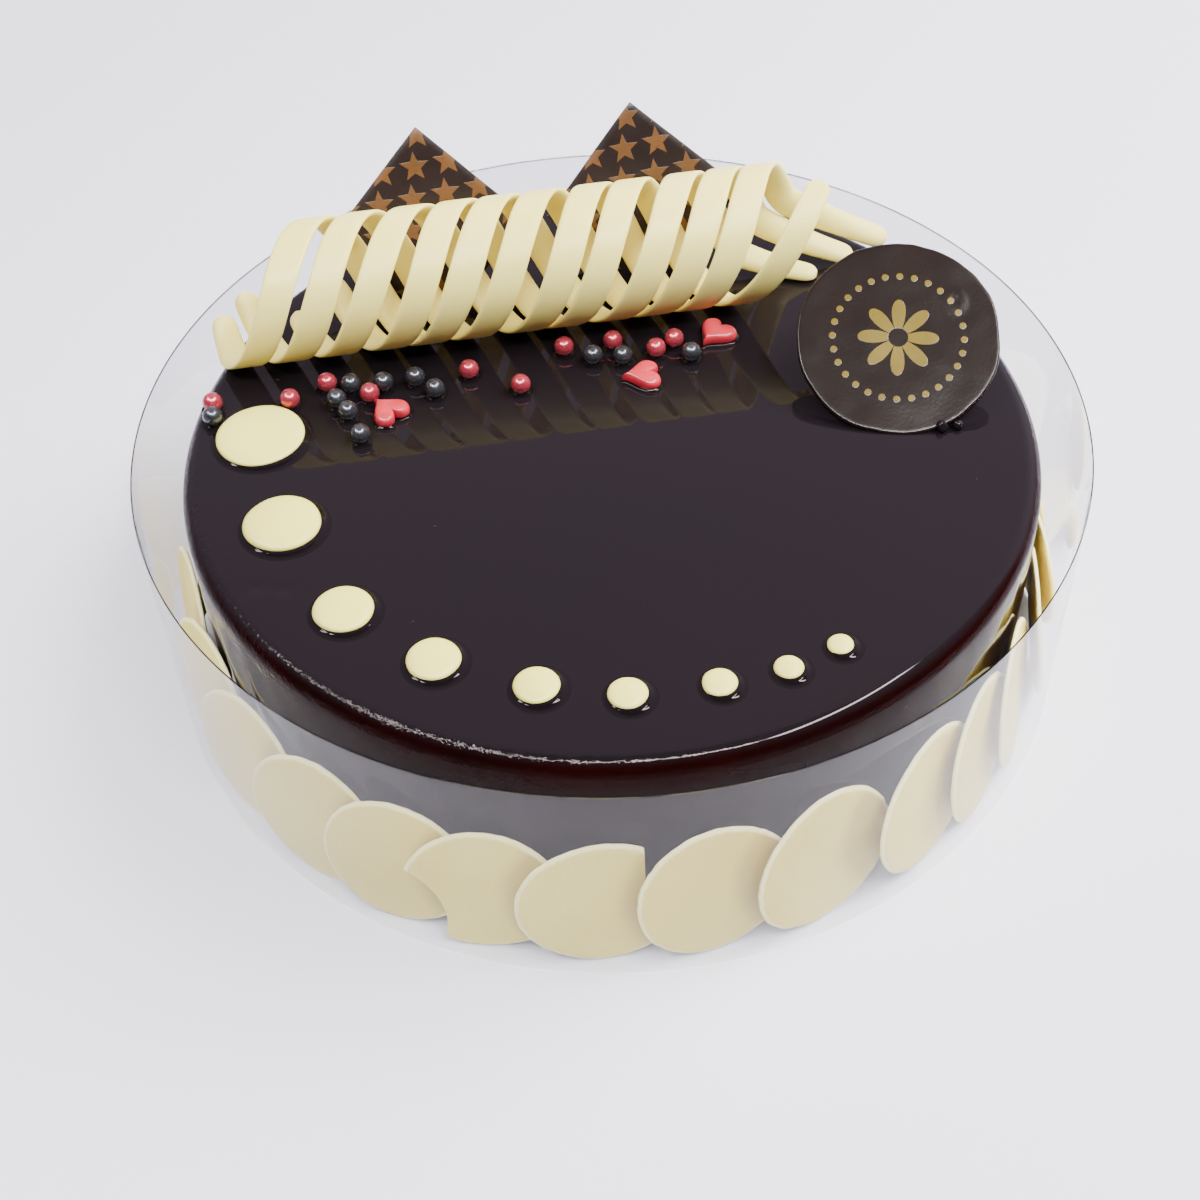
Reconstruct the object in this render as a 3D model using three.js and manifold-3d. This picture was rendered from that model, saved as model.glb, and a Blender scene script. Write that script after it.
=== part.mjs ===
// A round mousse cake under a dark mirror glaze, as it comes from the patisserie: a curl of white
// chocolate ribbons lies across its back, star-printed chocolate squares and a round plaque stand in
// the glaze, white drops follow the front edge from large to small, and thin white discs overlap
// around its side inside a clear collar.
//
// Millimetres, +Z up. The origin is the centre of the cake's underside. The curl runs along X, and
// -Y is the front of the cake.

import * as THREE from 'three';
import { mergeVertices } from 'three/addons/utils/BufferGeometryUtils.js';
import Module from 'manifold-3d';

// ---------- driving dimensions ----------

const GAP = 0.3;                     // clearance between neighbouring pieces

const CAKE_RADIUS = 101.5;
const CAKE_HEIGHT = 59;
const CAKE_EDGE = 4.5;               // rounding of the glazed top edge
const CAKE_FOOT = 0.8;               // small bevel at the underside
const CAKE_SIDES = 72;

const COLLAR_RADIUS = 112;           // outer face of the clear film
const COLLAR_HEIGHT = 63;
const COLLAR_WALL = 0.5;
const COLLAR_SIDES = 96;

const CURL_RADIUS = 17;              // outer face of the ribbons
const CURL_Y = 46.5;                 // the curl's axis, parallel to X
const CURL_LIFT = 0.6;               // from the glaze to the lowest point of the helix
const CURL_PITCH = 45.3;             // advance in a full turn, before the first crossing and after the last
const RIBBON_WIDTH = 7.8;
const RIBBON_DEPTH = 2.4;
const RIBBON_STEPS_PER_TURN = 18;
const RIBBON_SHOULDER = [0.55, 0.86];  // where its back turns: shares of the depth and half the width
const RIBBON_CROWN = 0.36;           // half the back's flat crown, as a share of half the width

// Each strand crosses the curl's front (angle 0) at the three X values of front, climbing towards +X,
// and is there from angle from to angle to. Over the last degrees of an end it leaves the helix
// lengthwise by reach, and its far end springs open by flare.
const STRANDS = [
  {
    front: [-77.5, -32.7, 13.8], from: -130, to: 984,
    startReach: -4.5, endReach: 16, endSpan: 36, flare: 0,
  },
  {
    front: [-66.5, -21.7, 23.9], from: -148, to: 968,
    startReach: -1.5, endReach: 18.5, endSpan: 46, flare: 0.3,
  },
  {
    front: [-55.2, -8.4, 33.1], from: -125, to: 955,
    startReach: 0, endReach: 21, endSpan: 48, flare: 1,
  },
  {
    front: [-42.4, 1.4, 45.2], from: -150, to: 795,
    startReach: 0, endReach: 6, endSpan: 110, flare: 0,
  },
];
const STRAND_START_SPAN = 60;        // degrees over which a strand's first end leaves the helix
const REACH_POWER = 1.2;             // how gently both ends leave it
const RIBBON_TAPER = 0.25;           // share of its width that a ribbon loses along each end

const SQUARE_SIDE = 36;
const SQUARE_DEPTH = 1.8;
const SQUARE_LEAN = 33;              // degrees back from upright
const SQUARES = [                    // the upper corner, then the turn about Z and in the square's own plane
  { peak: [-34.5, 85.4, 94], yaw: -2, roll: 1 },
  { peak: [21, 85.4, 94], yaw: -10.5, roll: 7.5 },
];

const PLAQUE_DIAMETER = 48.4;
const PLAQUE_DEPTH = 2.2;
const PLAQUE_RIM = 0.5;              // bevel round both faces
const PLAQUE_SIDES = 40;
const PLAQUE_LEAN = 60;
const PLAQUE_YAW = -14.7;
const PLAQUE_FOOT = [66, -14.3];     // where its lowest edge meets the glaze
const PLAQUE_SUNK = 0.6;             // how far that edge lies under the glaze

const DROPS = [                      // place by azimuth and distance from the axis, largest first
  { azimuth: 170.3, diameter: 21.2, ring: 83.3 },
  { azimuth: -167.5, diameter: 17.8, ring: 80.3 },
  { azimuth: -145, diameter: 13.5, ring: 81.4 },
  { azimuth: -127.1, diameter: 11.8, ring: 81.3 },
  { azimuth: -110.7, diameter: 10, ring: 81.4 },
  { azimuth: -97.3, diameter: 8.6, ring: 82.6 },
  { azimuth: -84, diameter: 7.6, ring: 83.1 },
  { azimuth: -73.8, diameter: 6.4, ring: 84.7 },
  { azimuth: -65.1, diameter: 5.7, ring: 85.1 },
];

const DROP_SIDES = 20;
const DROP_HEIGHT = 1.1;             // a drop of no width, and
const DROP_STEEPNESS = 0.11;         // what each millimetre of its diameter adds
const SPREAD_DROP = { over: 20, height: 1.9 };  // a drop wider than this has run flat

const PEARL_DIAMETER = 4.9;
const PEARL_SUNK = 0.35;
const PEARL_SIDES = 8;
const PEARL_RINGS = 5;
const RED_PEARLS = [
  [-92.9, 27.1], [-74.3, 24.7], [-65, 29.1], [-55.1, 23], [-30.3, 27.1],
  [-18.6, 19], [-6, 31.2], [6.3, 31.2], [16.3, 26.1], [21.4, 28.9],
];
const DARK_PEARLS = [
  [-93, 21.9], [-59.3, 27.5], [-63.2, 22.5], [-60.8, 17.5], [-58.5, 8.5], [-51.4, 26.6],
  [-43.6, 26.9], [-39.3, 21.6], [0.5, 26.5], [7.7, 24.9], [24.5, 22.7],
];

const HEART_LENGTH = 9.6;
const HEART_HEIGHT = 3;
const HEART_ROUNDING = 0.36;         // share of the height that is rounded above, and again below
const HEARTS = [                     // centre, then the direction in which the tip points
  { at: [-51.4, 16.6], tip: 125 },
  { at: [11, 17], tip: 178 },
  { at: [32, 29.4], tip: -140 },
];

const DISC_COUNT = 28;
const DISC_DIAMETER = 36;
const DISC_DEPTH = 1.1;
const DISC_CORNERS = 26;
const DISC_OVAL = 0.018;             // the hand-spread outline's two waves, as shares of the radius
const DISC_LOBES = 0.012;
const DISC_FIRST = -165.2;           // azimuth of the first disc
const DISC_SHIFTS = [                // how many degrees the discs stand off an even spacing, in turn
  0, 0, 0.8, 0.2, -1.5, -0.4, 0.2, 1.2, 4, 2.2, -0.6,
];
const DISC_SIZE_DRIFT = 0.8;         // the diameter drifts by this much, once in nine discs
const DISC_SIZE_CYCLE = 9;
const DISC_FOOT_RADIUS = 108;        // where the discs stand
const DISC_LEAN = 7.5;               // the tops lean in to the cake
const DISC_TURN = 9;                 // the left edge of every disc lies out over its neighbour
const BITTEN_DISC = 4;               // a round bite out of its left side
const BITE_RADIUS = 17.6;
const BITE_CENTRE = [-25.9, 7.3];
const TRIMMED_DISC = 5;              // its upper right part is cut away square
const TRIM_CORNER = [9.8, 15];

// ---------- finishes ----------

const finish = (color, roughness) => new THREE.MeshStandardMaterial({ color, roughness, metalness: 0 });
const GLAZE = finish(0x2f272b, 0.08);
const WHITE_CHOCOLATE = finish(0xece3c6, 0.5);
const DROP_CHOCOLATE = finish(0xeee6cb, 0.4);
const DISC_CHOCOLATE = finish(0xf0ebdc, 0.55);
const DARK_CHOCOLATE = finish(0x3d302e, 0.3);
const HEART_SUGAR = finish(0xe0554f, 0.3);
const CLEAR_FILM = finish(0xdfe2e8, 0.05);
CLEAR_FILM.transparent = true;
CLEAR_FILM.opacity = 0.2;

// ---------- solids ----------

const wasm = await Module();
wasm.setup();

const radians = THREE.MathUtils.degToRad;

function polar(radius, azimuth, z = 0) {
  const angle = radians(azimuth);
  return new THREE.Vector3(radius * Math.cos(angle), radius * Math.sin(angle), z);
}

/** Keeps only the corners of a geometry, each one shared by the faces that meet there. */
function welded(geometry) {
  const bare = geometry.clone();
  bare.deleteAttribute('normal');
  bare.deleteAttribute('uv');
  return mergeVertices(bare, 1e-4);
}

function toSolid(geometry) {
  const shape = welded(geometry);
  return new wasm.Manifold(new wasm.Mesh({
    numProp: 3,
    vertProperties: new Float32Array(shape.getAttribute('position').array),
    triVerts: new Uint32Array(shape.getIndex().array),
  }));
}

function toGeometry(solid) {
  const mesh = solid.getMesh();
  const geometry = new THREE.BufferGeometry();
  geometry.setAttribute('position', new THREE.BufferAttribute(mesh.vertProperties, 3));
  geometry.setIndex(new THREE.BufferAttribute(mesh.triVerts, 1));
  geometry.computeVertexNormals();
  return geometry;
}

/** Turns an outline of [radius, height] points about the Z axis. */
function turned(outline, sides) {
  const points = outline.map(([radius, height]) => new THREE.Vector2(radius, height));
  return new THREE.LatheGeometry(points, sides).rotateX(Math.PI / 2);
}

/** Points of a quarter circle round (radius, height), from the outermost point to the highest. */
function quarterArc(radius, height, size, steps) {
  const points = [];
  for (let step = 0; step <= steps; step += 1) {
    const angle = (step / steps) * (Math.PI / 2);
    points.push([radius + size * Math.cos(angle), height + size * Math.sin(angle)]);
  }
  return points;
}

// ---------- cake ----------

/** Height of the glaze at a distance from the axis, over the flat top and the rounded edge. */
function glazeHeight(radius) {
  const past = Math.max(0, radius - (CAKE_RADIUS - CAKE_EDGE));
  return CAKE_HEIGHT - CAKE_EDGE + Math.sqrt(CAKE_EDGE ** 2 - past ** 2);
}

function cakeBody() {
  const edge = quarterArc(CAKE_RADIUS - CAKE_EDGE, CAKE_HEIGHT - CAKE_EDGE, CAKE_EDGE, 6);
  return turned([
    [0, 0],
    [CAKE_RADIUS - CAKE_FOOT, 0],
    [CAKE_RADIUS, CAKE_FOOT],
    ...edge,
    [0, CAKE_HEIGHT],
  ], CAKE_SIDES);
}

function pearl([x, y]) {
  const z = glazeHeight(Math.hypot(x, y)) + PEARL_DIAMETER / 2 - PEARL_SUNK;
  const ball = new THREE.SphereGeometry(PEARL_DIAMETER / 2, PEARL_SIDES, PEARL_RINGS);
  return ball.rotateX(Math.PI / 2).translate(x, y, z);
}

/** The glazed cake with its sugar pearls, slotted where the squares and the plaque stand in it. */
function cake() {
  let body = toSolid(cakeBody());
  for (const place of [...RED_PEARLS, ...DARK_PEARLS]) {
    body = body.add(toSolid(pearl(place)));
  }
  for (const place of SQUARES) {
    body = body.subtract(toSolid(square(place, GAP)));
  }
  return toGeometry(body.subtract(toSolid(plaque(GAP))));
}

// ---------- white chocolate curl ----------

/** X of a strand where it crosses the curl's front for the turn-th time, turn being any number. */
function frontCrossing([first, second, third], turn) {
  const inside = THREE.MathUtils.clamp(turn, 0, 2);
  const bend = (third - 2 * second + first) / 2;
  return first + (second - first - bend) * inside + bend * inside ** 2 + CURL_PITCH * (turn - inside);
}

/** The middle line of one strand's outer face, with frames that keep that face on the cylinder. */
class StrandCurve extends THREE.Curve {
  constructor(strand) {
    super();
    this.strand = strand;
    this.arcLengthDivisions = 400;
  }

  angle(t) {
    return THREE.MathUtils.lerp(this.strand.from, this.strand.to, t);
  }

  outward(t) {
    const angle = radians(this.angle(t));
    return new THREE.Vector3(0, -Math.cos(angle), Math.sin(angle));
  }

  /** How far a point is into the strand's first stretch, 1 at its very start. */
  atStart(t) {
    return Math.max(0, 1 - (this.angle(t) - this.strand.from) / STRAND_START_SPAN) ** REACH_POWER;
  }

  /** How far a point is into the strand's last stretch, 1 at its very end. */
  atEnd(t) {
    return Math.max(0, 1 - (this.strand.to - this.angle(t)) / this.strand.endSpan) ** REACH_POWER;
  }

  getPoint(t, target = new THREE.Vector3()) {
    const { front, startReach, endReach, flare } = this.strand;
    target.set(0, CURL_Y, CAKE_HEIGHT + CURL_LIFT + CURL_RADIUS);
    target.addScaledVector(this.outward(t), CURL_RADIUS + this.atEnd(t) * flare);
    const reach = this.atEnd(t) * endReach - this.atStart(t) * startReach;
    target.x = frontCrossing(front, this.angle(t) / 360) + reach;
    return target;
  }

  computeFrenetFrames(segments) {
    const frames = { tangents: [], normals: [], binormals: [] };
    for (let segment = 0; segment <= segments; segment += 1) {
      const t = this.getUtoTmapping(segment / segments);
      const tangent = this.getTangent(t);
      const normal = this.outward(t).negate();
      frames.tangents.push(tangent);
      frames.normals.push(normal);
      const across = new THREE.Vector3().crossVectors(tangent, normal);
      const taper = RIBBON_TAPER * Math.max(this.atStart(t), this.atEnd(t));
      frames.binormals.push(across.setLength(1 - taper));
    }
    return frames;
  }
}

/** A ribbon: flat outside where it lay on the sheet, rounded inside where it was piped. */
function ribbonSection() {
  const half = RIBBON_WIDTH / 2;
  const shoulder = RIBBON_SHOULDER[0] * RIBBON_DEPTH;
  const shoulderHalf = RIBBON_SHOULDER[1] * half;
  const crownHalf = RIBBON_CROWN * half;
  return new THREE.Shape([
    new THREE.Vector2(0, -half),
    new THREE.Vector2(0, half),
    new THREE.Vector2(shoulder, shoulderHalf),
    new THREE.Vector2(RIBBON_DEPTH, crownHalf),
    new THREE.Vector2(RIBBON_DEPTH, -crownHalf),
    new THREE.Vector2(shoulder, -shoulderHalf),
  ]);
}

function strand(shape) {
  const turns = (shape.to - shape.from) / 360;
  return new THREE.ExtrudeGeometry(ribbonSection(), {
    steps: Math.round(turns * RIBBON_STEPS_PER_TURN),
    extrudePath: new StrandCurve(shape),
  });
}

// ---------- standing chocolate ----------

/** Puts a plate that lies round the origin in the XZ plane where it leans back in the glaze. */
function stood(geometry, lean, yaw, at) {
  return geometry.rotateX(-radians(lean)).rotateZ(radians(yaw)).translate(...at);
}

/** A thin square standing on one corner. The margin makes it larger all round, for its slot. */
function square({ peak, yaw, roll }, margin = 0) {
  const side = SQUARE_SIDE + 2 * margin;
  const plate = new THREE.BoxGeometry(side, SQUARE_DEPTH + 2 * margin, side);
  const toCentre = -SQUARE_SIDE / Math.SQRT2;
  plate.rotateY(Math.PI / 4).translate(0, 0, toCentre).rotateY(-radians(roll));
  return stood(plate, SQUARE_LEAN, yaw, peak);
}

/** The round plaque. The margin makes it larger all round, for its slot. */
function plaque(margin = 0) {
  const radius = PLAQUE_DIAMETER / 2 + margin;
  const half = PLAQUE_DEPTH / 2 + margin;
  const plate = turned([
    [0, -half],
    [radius - PLAQUE_RIM, -half],
    [radius, PLAQUE_RIM - half],
    [radius, half - PLAQUE_RIM],
    [radius - PLAQUE_RIM, half],
    [0, half],
  ], PLAQUE_SIDES);
  plate.rotateX(Math.PI / 2).translate(0, 0, PLAQUE_DIAMETER / 2);
  return stood(plate, PLAQUE_LEAN, PLAQUE_YAW, [...PLAQUE_FOOT, CAKE_HEIGHT - PLAQUE_SUNK]);
}

// ---------- drops and hearts ----------

/** A white drop with a thin rim and a low peak, as shares of its radius and height. */
function drop({ diameter }) {
  const spread = diameter > SPREAD_DROP.over;
  const height = spread ? SPREAD_DROP.height : DROP_HEIGHT + DROP_STEEPNESS * diameter;
  const profile = [
    [0, 0],
    [0.93, 0],
    [1, 0.28],
    [0.95, 0.5],
    [0.72, spread ? 0.92 : 0.72],
    [0.3, 0.93],
    [0, 1],
  ];
  return turned(profile.map(([across, up]) => [(across * diameter) / 2, up * height]), DROP_SIDES);
}

/** A puffy sugar heart, lying flat with its tip towards +X. Its outline is drawn 9.6 mm long. */
function heart() {
  const outline = new THREE.Shape();
  outline.moveTo(5, 0);
  outline.bezierCurveTo(2.6, 3.2, -0.6, 5.4, -3.2, 4.4);
  outline.bezierCurveTo(-5.6, 3.4, -5, 0.6, -2.6, 0);
  outline.bezierCurveTo(-5, -0.6, -5.6, -3.4, -3.2, -4.4);
  outline.bezierCurveTo(-0.6, -5.4, 2.6, -3.2, 5, 0);
  const bevel = HEART_HEIGHT * HEART_ROUNDING;
  const body = new THREE.ExtrudeGeometry(outline, {
    depth: HEART_HEIGHT - 2 * bevel,
    curveSegments: 6,
    bevelThickness: bevel,
    bevelSize: bevel,
    bevelOffset: -bevel,
    bevelSegments: 2,
  });
  const drawnLength = 9.6;
  const scale = HEART_LENGTH / drawnLength;
  return body.translate(0, 0, bevel).scale(scale, scale, 1);
}

// ---------- side discs ----------

function discAzimuth(index) {
  return DISC_FIRST + (360 / DISC_COUNT) * index + DISC_SHIFTS[index % DISC_SHIFTS.length];
}

function discDiameter(index) {
  return DISC_DIAMETER - DISC_SIZE_DRIFT * Math.cos((2 * Math.PI * (index - 2.5)) / DISC_SIZE_CYCLE);
}

/** Outline of a disc that was spread by hand, standing on the X axis. */
function discOutline(index) {
  const points = [];
  for (let corner = 0; corner < DISC_CORNERS; corner += 1) {
    const angle = (2 * Math.PI * corner) / DISC_CORNERS;
    const oval = DISC_OVAL * Math.sin(2 * angle + 1.7 * index);
    const lobes = DISC_LOBES * Math.sin(3 * angle + 2.3 * index);
    const radius = (discDiameter(index) / 2) * (1 + oval + lobes);
    points.push(new THREE.Vector2(radius * Math.cos(angle), radius * Math.sin(angle)));
  }
  const lowest = Math.min(...points.map((point) => point.y));
  return points.map((point) => new THREE.Vector2(point.x, point.y - lowest));
}

/** One side disc, standing on the X axis with its faces towards -Y and +Y. */
function disc(index) {
  const plate = new THREE.ExtrudeGeometry(new THREE.Shape(discOutline(index)), {
    depth: DISC_DEPTH,
    bevelEnabled: false,
  });
  plate.rotateX(Math.PI / 2).translate(0, DISC_DEPTH / 2, 0);
  if (index === BITTEN_DISC) {
    const bite = new THREE.CylinderGeometry(BITE_RADIUS, BITE_RADIUS, 4 * DISC_DEPTH, 24);
    bite.translate(BITE_CENTRE[0], 0, BITE_CENTRE[1]);
    return toGeometry(toSolid(plate).subtract(toSolid(bite)));
  }
  if (index === TRIMMED_DISC) {
    const half = DISC_DIAMETER / 2;
    const trim = new THREE.BoxGeometry(2 * half, 4 * DISC_DEPTH, 2 * half);
    trim.translate(TRIM_CORNER[0] + half, 0, TRIM_CORNER[1] + half);
    return toGeometry(toSolid(plate).subtract(toSolid(trim)));
  }
  return plate;
}

// ---------- collar ----------

function collar() {
  const inside = COLLAR_RADIUS - COLLAR_WALL;
  return turned([
    [inside, 0],
    [COLLAR_RADIUS, 0],
    [COLLAR_RADIUS, COLLAR_HEIGHT],
    [inside, COLLAR_HEIGHT],
    [inside, 0],
  ], COLLAR_SIDES);
}

// ---------- assembly ----------

const mousseCake = new THREE.Group();

function place(name, geometry, material, parent = mousseCake) {
  const mesh = new THREE.Mesh(geometry, material);
  mesh.name = name;
  parent.add(mesh);
  return mesh;
}

place('cake', cake(), GLAZE);

STRANDS.forEach((shape, index) => {
  place(`curl_strand_${index + 1}`, strand(shape), WHITE_CHOCOLATE);
});

SQUARES.forEach((shape, index) => {
  place(`star_square_${index + 1}`, square(shape), DARK_CHOCOLATE);
});

place('plaque', plaque(), DARK_CHOCOLATE);

DROPS.forEach((shape, index) => {
  const mesh = place(`drop_${index + 1}`, drop(shape), DROP_CHOCOLATE);
  mesh.position.copy(polar(shape.ring, shape.azimuth, CAKE_HEIGHT + GAP));
});

HEARTS.forEach(({ at, tip }, index) => {
  const mesh = place(`heart_${index + 1}`, heart(), HEART_SUGAR);
  mesh.position.set(...at, CAKE_HEIGHT + GAP);
  mesh.rotation.z = radians(tip);
});

for (let index = 0; index < DISC_COUNT; index += 1) {
  const azimuth = discAzimuth(index);
  const stand = new THREE.Group();
  stand.position.copy(polar(DISC_FOOT_RADIUS, azimuth, GAP));
  stand.rotation.z = radians(azimuth + 90 + DISC_TURN);
  const mesh = place(`side_disc_${index + 1}`, disc(index), DISC_CHOCOLATE, stand);
  mesh.rotation.x = -radians(DISC_LEAN);
  mousseCake.add(stand);
}

place('collar', collar(), CLEAR_FILM);

export default mousseCake;
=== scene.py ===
"""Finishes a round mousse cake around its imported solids, and lights it in a plain pale studio.

The cake stands under a dark mirror glaze. A curl of white chocolate ribbons lies across its back, two
star-printed squares and a round plaque stand in the glaze, white drops follow the front edge from
large to small, sugar pearls and hearts lie before the curl, and thin white discs lap round the side
inside a clear collar.

Everything is in metres, +Z up, with the origin at the centre of the cake's underside, the curl along X
and -Y at the front. Sizes that are easier to read in millimetres are multiplied by MM.
"""

import logging
import math
from collections.abc import Callable, Iterator, Sequence
from contextlib import contextmanager
from dataclasses import dataclass
from enum import Enum
from functools import lru_cache

import bmesh
import bpy
from mathutils import Matrix, Vector, noise


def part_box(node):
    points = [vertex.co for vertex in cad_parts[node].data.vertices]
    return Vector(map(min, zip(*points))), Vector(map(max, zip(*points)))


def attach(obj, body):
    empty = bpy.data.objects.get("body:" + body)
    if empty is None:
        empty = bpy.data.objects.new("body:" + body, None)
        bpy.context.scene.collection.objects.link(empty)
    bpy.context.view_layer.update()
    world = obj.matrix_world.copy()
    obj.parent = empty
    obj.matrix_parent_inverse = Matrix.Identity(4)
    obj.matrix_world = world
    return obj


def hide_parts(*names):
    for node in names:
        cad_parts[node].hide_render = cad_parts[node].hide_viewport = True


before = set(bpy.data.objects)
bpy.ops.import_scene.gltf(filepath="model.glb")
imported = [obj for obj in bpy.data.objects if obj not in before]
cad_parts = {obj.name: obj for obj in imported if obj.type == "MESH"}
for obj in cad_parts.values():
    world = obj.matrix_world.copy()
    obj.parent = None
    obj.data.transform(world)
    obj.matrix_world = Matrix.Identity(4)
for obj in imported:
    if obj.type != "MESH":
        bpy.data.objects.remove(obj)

LOG = logging.getLogger("mousse_cake")
MM = 0.001
BODY = "root"

Piece = bpy.types.Object
Socket = bpy.types.NodeSocket
Color = tuple[float, float, float, float]


# ---------- hand modelling ----------


class Select(Enum):
    """What a selection picks out of a mesh in edit mode."""

    CORNERS = "VERT"
    EDGES = "EDGE"
    FACES = "FACE"


def start(add: Callable[..., set], **options: object) -> Piece:
    """Adds a primitive with everything else deselected.

    Args:
        add: the operator that adds it.
        options: the operator's own sizes and place.

    Returns:
        The new object.
    """
    bpy.ops.object.select_all(action="DESELECT")
    add(**options)
    return bpy.context.active_object


@contextmanager
def editing(piece: Piece) -> Iterator[None]:
    """Opens a piece in edit mode with nothing selected, and closes it again.

    Args:
        piece: the object to shape.
    """
    bpy.ops.object.select_all(action="DESELECT")
    piece.select_set(True)
    bpy.context.view_layer.objects.active = piece
    bpy.ops.object.mode_set(mode="EDIT")
    bpy.ops.mesh.select_mode(type="VERT")
    bpy.ops.mesh.select_all(action="DESELECT")
    yield
    bpy.ops.object.mode_set(mode="OBJECT")


def pick(piece: Piece, kind: Select, wanted: Callable[..., bool]) -> int:
    """Selects what passes a test in a piece that is open in edit mode, and nothing else.

    Args:
        piece: the open object.
        kind: whether corners, edges or faces are tested.
        wanted: the test.

    Returns:
        How many passed.
    """
    bpy.ops.mesh.select_mode(type=kind.value)
    bpy.ops.mesh.select_all(action="DESELECT")
    shape = bmesh.from_edit_mesh(piece.data)
    shape.normal_update()
    elements = {Select.CORNERS: shape.verts, Select.EDGES: shape.edges, Select.FACES: shape.faces}[kind]
    chosen = [element for element in elements if wanted(element)]
    for element in chosen:
        element.select_set(True)
    shape.select_flush_mode()
    bmesh.update_edit_mesh(piece.data)
    return len(chosen)


def move_selected(piece: Piece, place: Callable[[Vector], Vector]) -> None:
    """Moves the selected corners of a piece that is open in edit mode.

    Args:
        piece: the open object.
        place: gives a corner's new place from its old one.
    """
    shape = bmesh.from_edit_mesh(piece.data)
    for corner in shape.verts:
        if corner.select:
            corner.co = place(corner.co.copy())
    bmesh.update_edit_mesh(piece.data)


def reshape(piece: Piece, place: Callable[[Vector], Vector]) -> None:
    """Moves every corner of a finished mesh, as a hand presses or pulls it.

    Args:
        piece: the object.
        place: gives a corner's new place from its old one.
    """
    for corner in piece.data.vertices:
        corner.co = place(corner.co.copy())
    piece.data.update()


def tighten(piece: Piece) -> None:
    """Merges corners that lie together and turns every face outwards.

    Args:
        piece: the object.
    """
    with editing(piece):
        bpy.ops.mesh.select_all(action="SELECT")
        bpy.ops.mesh.remove_doubles(threshold=1e-6)
        bpy.ops.mesh.normals_make_consistent(inside=False)
        if bmesh.from_edit_mesh(piece.data).calc_volume(signed=True) < 0:
            bpy.ops.mesh.flip_normals()


def modify(piece: Piece, kind: str, **settings: object) -> None:
    """Puts a modifier on a piece and applies it.

    Args:
        piece: the object.
        kind: the modifier's type.
        settings: its values.
    """
    bpy.ops.object.select_all(action="DESELECT")
    piece.select_set(True)
    bpy.context.view_layer.objects.active = piece
    modifier = piece.modifiers.new(kind.title(), kind)
    for name, value in settings.items():
        setattr(modifier, name, value)
    bpy.ops.object.modifier_apply(modifier=modifier.name)


def round_off(piece: Piece, levels: int) -> None:
    """Rounds a piece by subdivision."""
    modify(piece, "SUBSURF", levels=levels, render_levels=levels)


def copied(piece: Piece) -> Piece:
    """Makes a copy of a piece with its own mesh.

    Args:
        piece: the object.

    Returns:
        The copy.
    """
    twin = piece.copy()
    twin.data = piece.data.copy()
    bpy.context.collection.objects.link(twin)
    return twin


def joined(pieces: Sequence[Piece]) -> Piece:
    """Makes one object of several.

    Args:
        pieces: the objects, of which the first is kept.

    Returns:
        The one object.
    """
    bpy.ops.object.select_all(action="DESELECT")
    for piece in pieces:
        piece.select_set(True)
    bpy.context.view_layer.objects.active = pieces[0]
    bpy.ops.object.join()
    return pieces[0]


def spun(profile: Sequence[tuple[float, float]], steps: int) -> Piece:
    """Turns an open or closed profile about the Z axis, as on a potter's wheel.

    Args:
        profile: the (radius, height) points, in metres.
        steps: how many steps a full turn has.

    Returns:
        The turned object, closed and with its faces out.
    """
    piece = start(bpy.ops.mesh.primitive_plane_add, size=MM)
    with editing(piece):
        bpy.ops.mesh.select_all(action="SELECT")
        bpy.ops.mesh.merge(type="CENTER")
        last = Vector((profile[0][0], 0, profile[0][1]))
        bpy.ops.transform.translate(value=last)
        for radius, height in profile[1:]:
            point = Vector((radius, 0, height))
            bpy.ops.mesh.extrude_region_move(TRANSFORM_OT_translate={"value": point - last})
            last = point
        bpy.ops.mesh.select_all(action="SELECT")
        bpy.ops.mesh.spin(steps=steps, angle=2 * math.pi, center=(0, 0, 0), axis=(0, 0, 1))
    tighten(piece)
    return piece


def wobble(point: Vector, size: float, depth: float, seed: float = 0.0) -> float:
    """Gives a smooth unevenness at a point.

    Args:
        point: the place, in metres.
        size: about how far apart its swells are, in metres.
        depth: how deep they are, in metres.
        seed: a shift that makes another pattern.

    Returns:
        A height between -depth and depth.
    """
    return depth * noise.noise(point / size + Vector((seed, 1.7 * seed, -seed)))


def settle(piece: Piece, name: str, material: bpy.types.Material,
           replaced: Sequence[str] = (), sharp: float = 50.0) -> Piece:
    """Names, dresses and places a finished piece in the frame.

    Args:
        piece: the object.
        name: its name.
        material: its material.
        replaced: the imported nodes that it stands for.
        sharp: the angle in degrees past which an edge stays sharp.

    Returns:
        The same object.
    """
    bpy.ops.object.select_all(action="DESELECT")
    piece.select_set(True)
    bpy.context.view_layer.objects.active = piece
    bpy.ops.object.transform_apply(location=True, rotation=True, scale=True)
    bpy.ops.object.shade_smooth_by_angle(angle=math.radians(sharp))
    piece.name = name
    piece.data.name = name
    piece.data.materials.clear()
    piece.data.materials.append(material)
    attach(piece, BODY)
    if replaced:
        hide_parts(*replaced)
    LOG.info("%s: %d faces", name, len(piece.data.polygons))
    return piece


# ---------- node boards ----------


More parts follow.
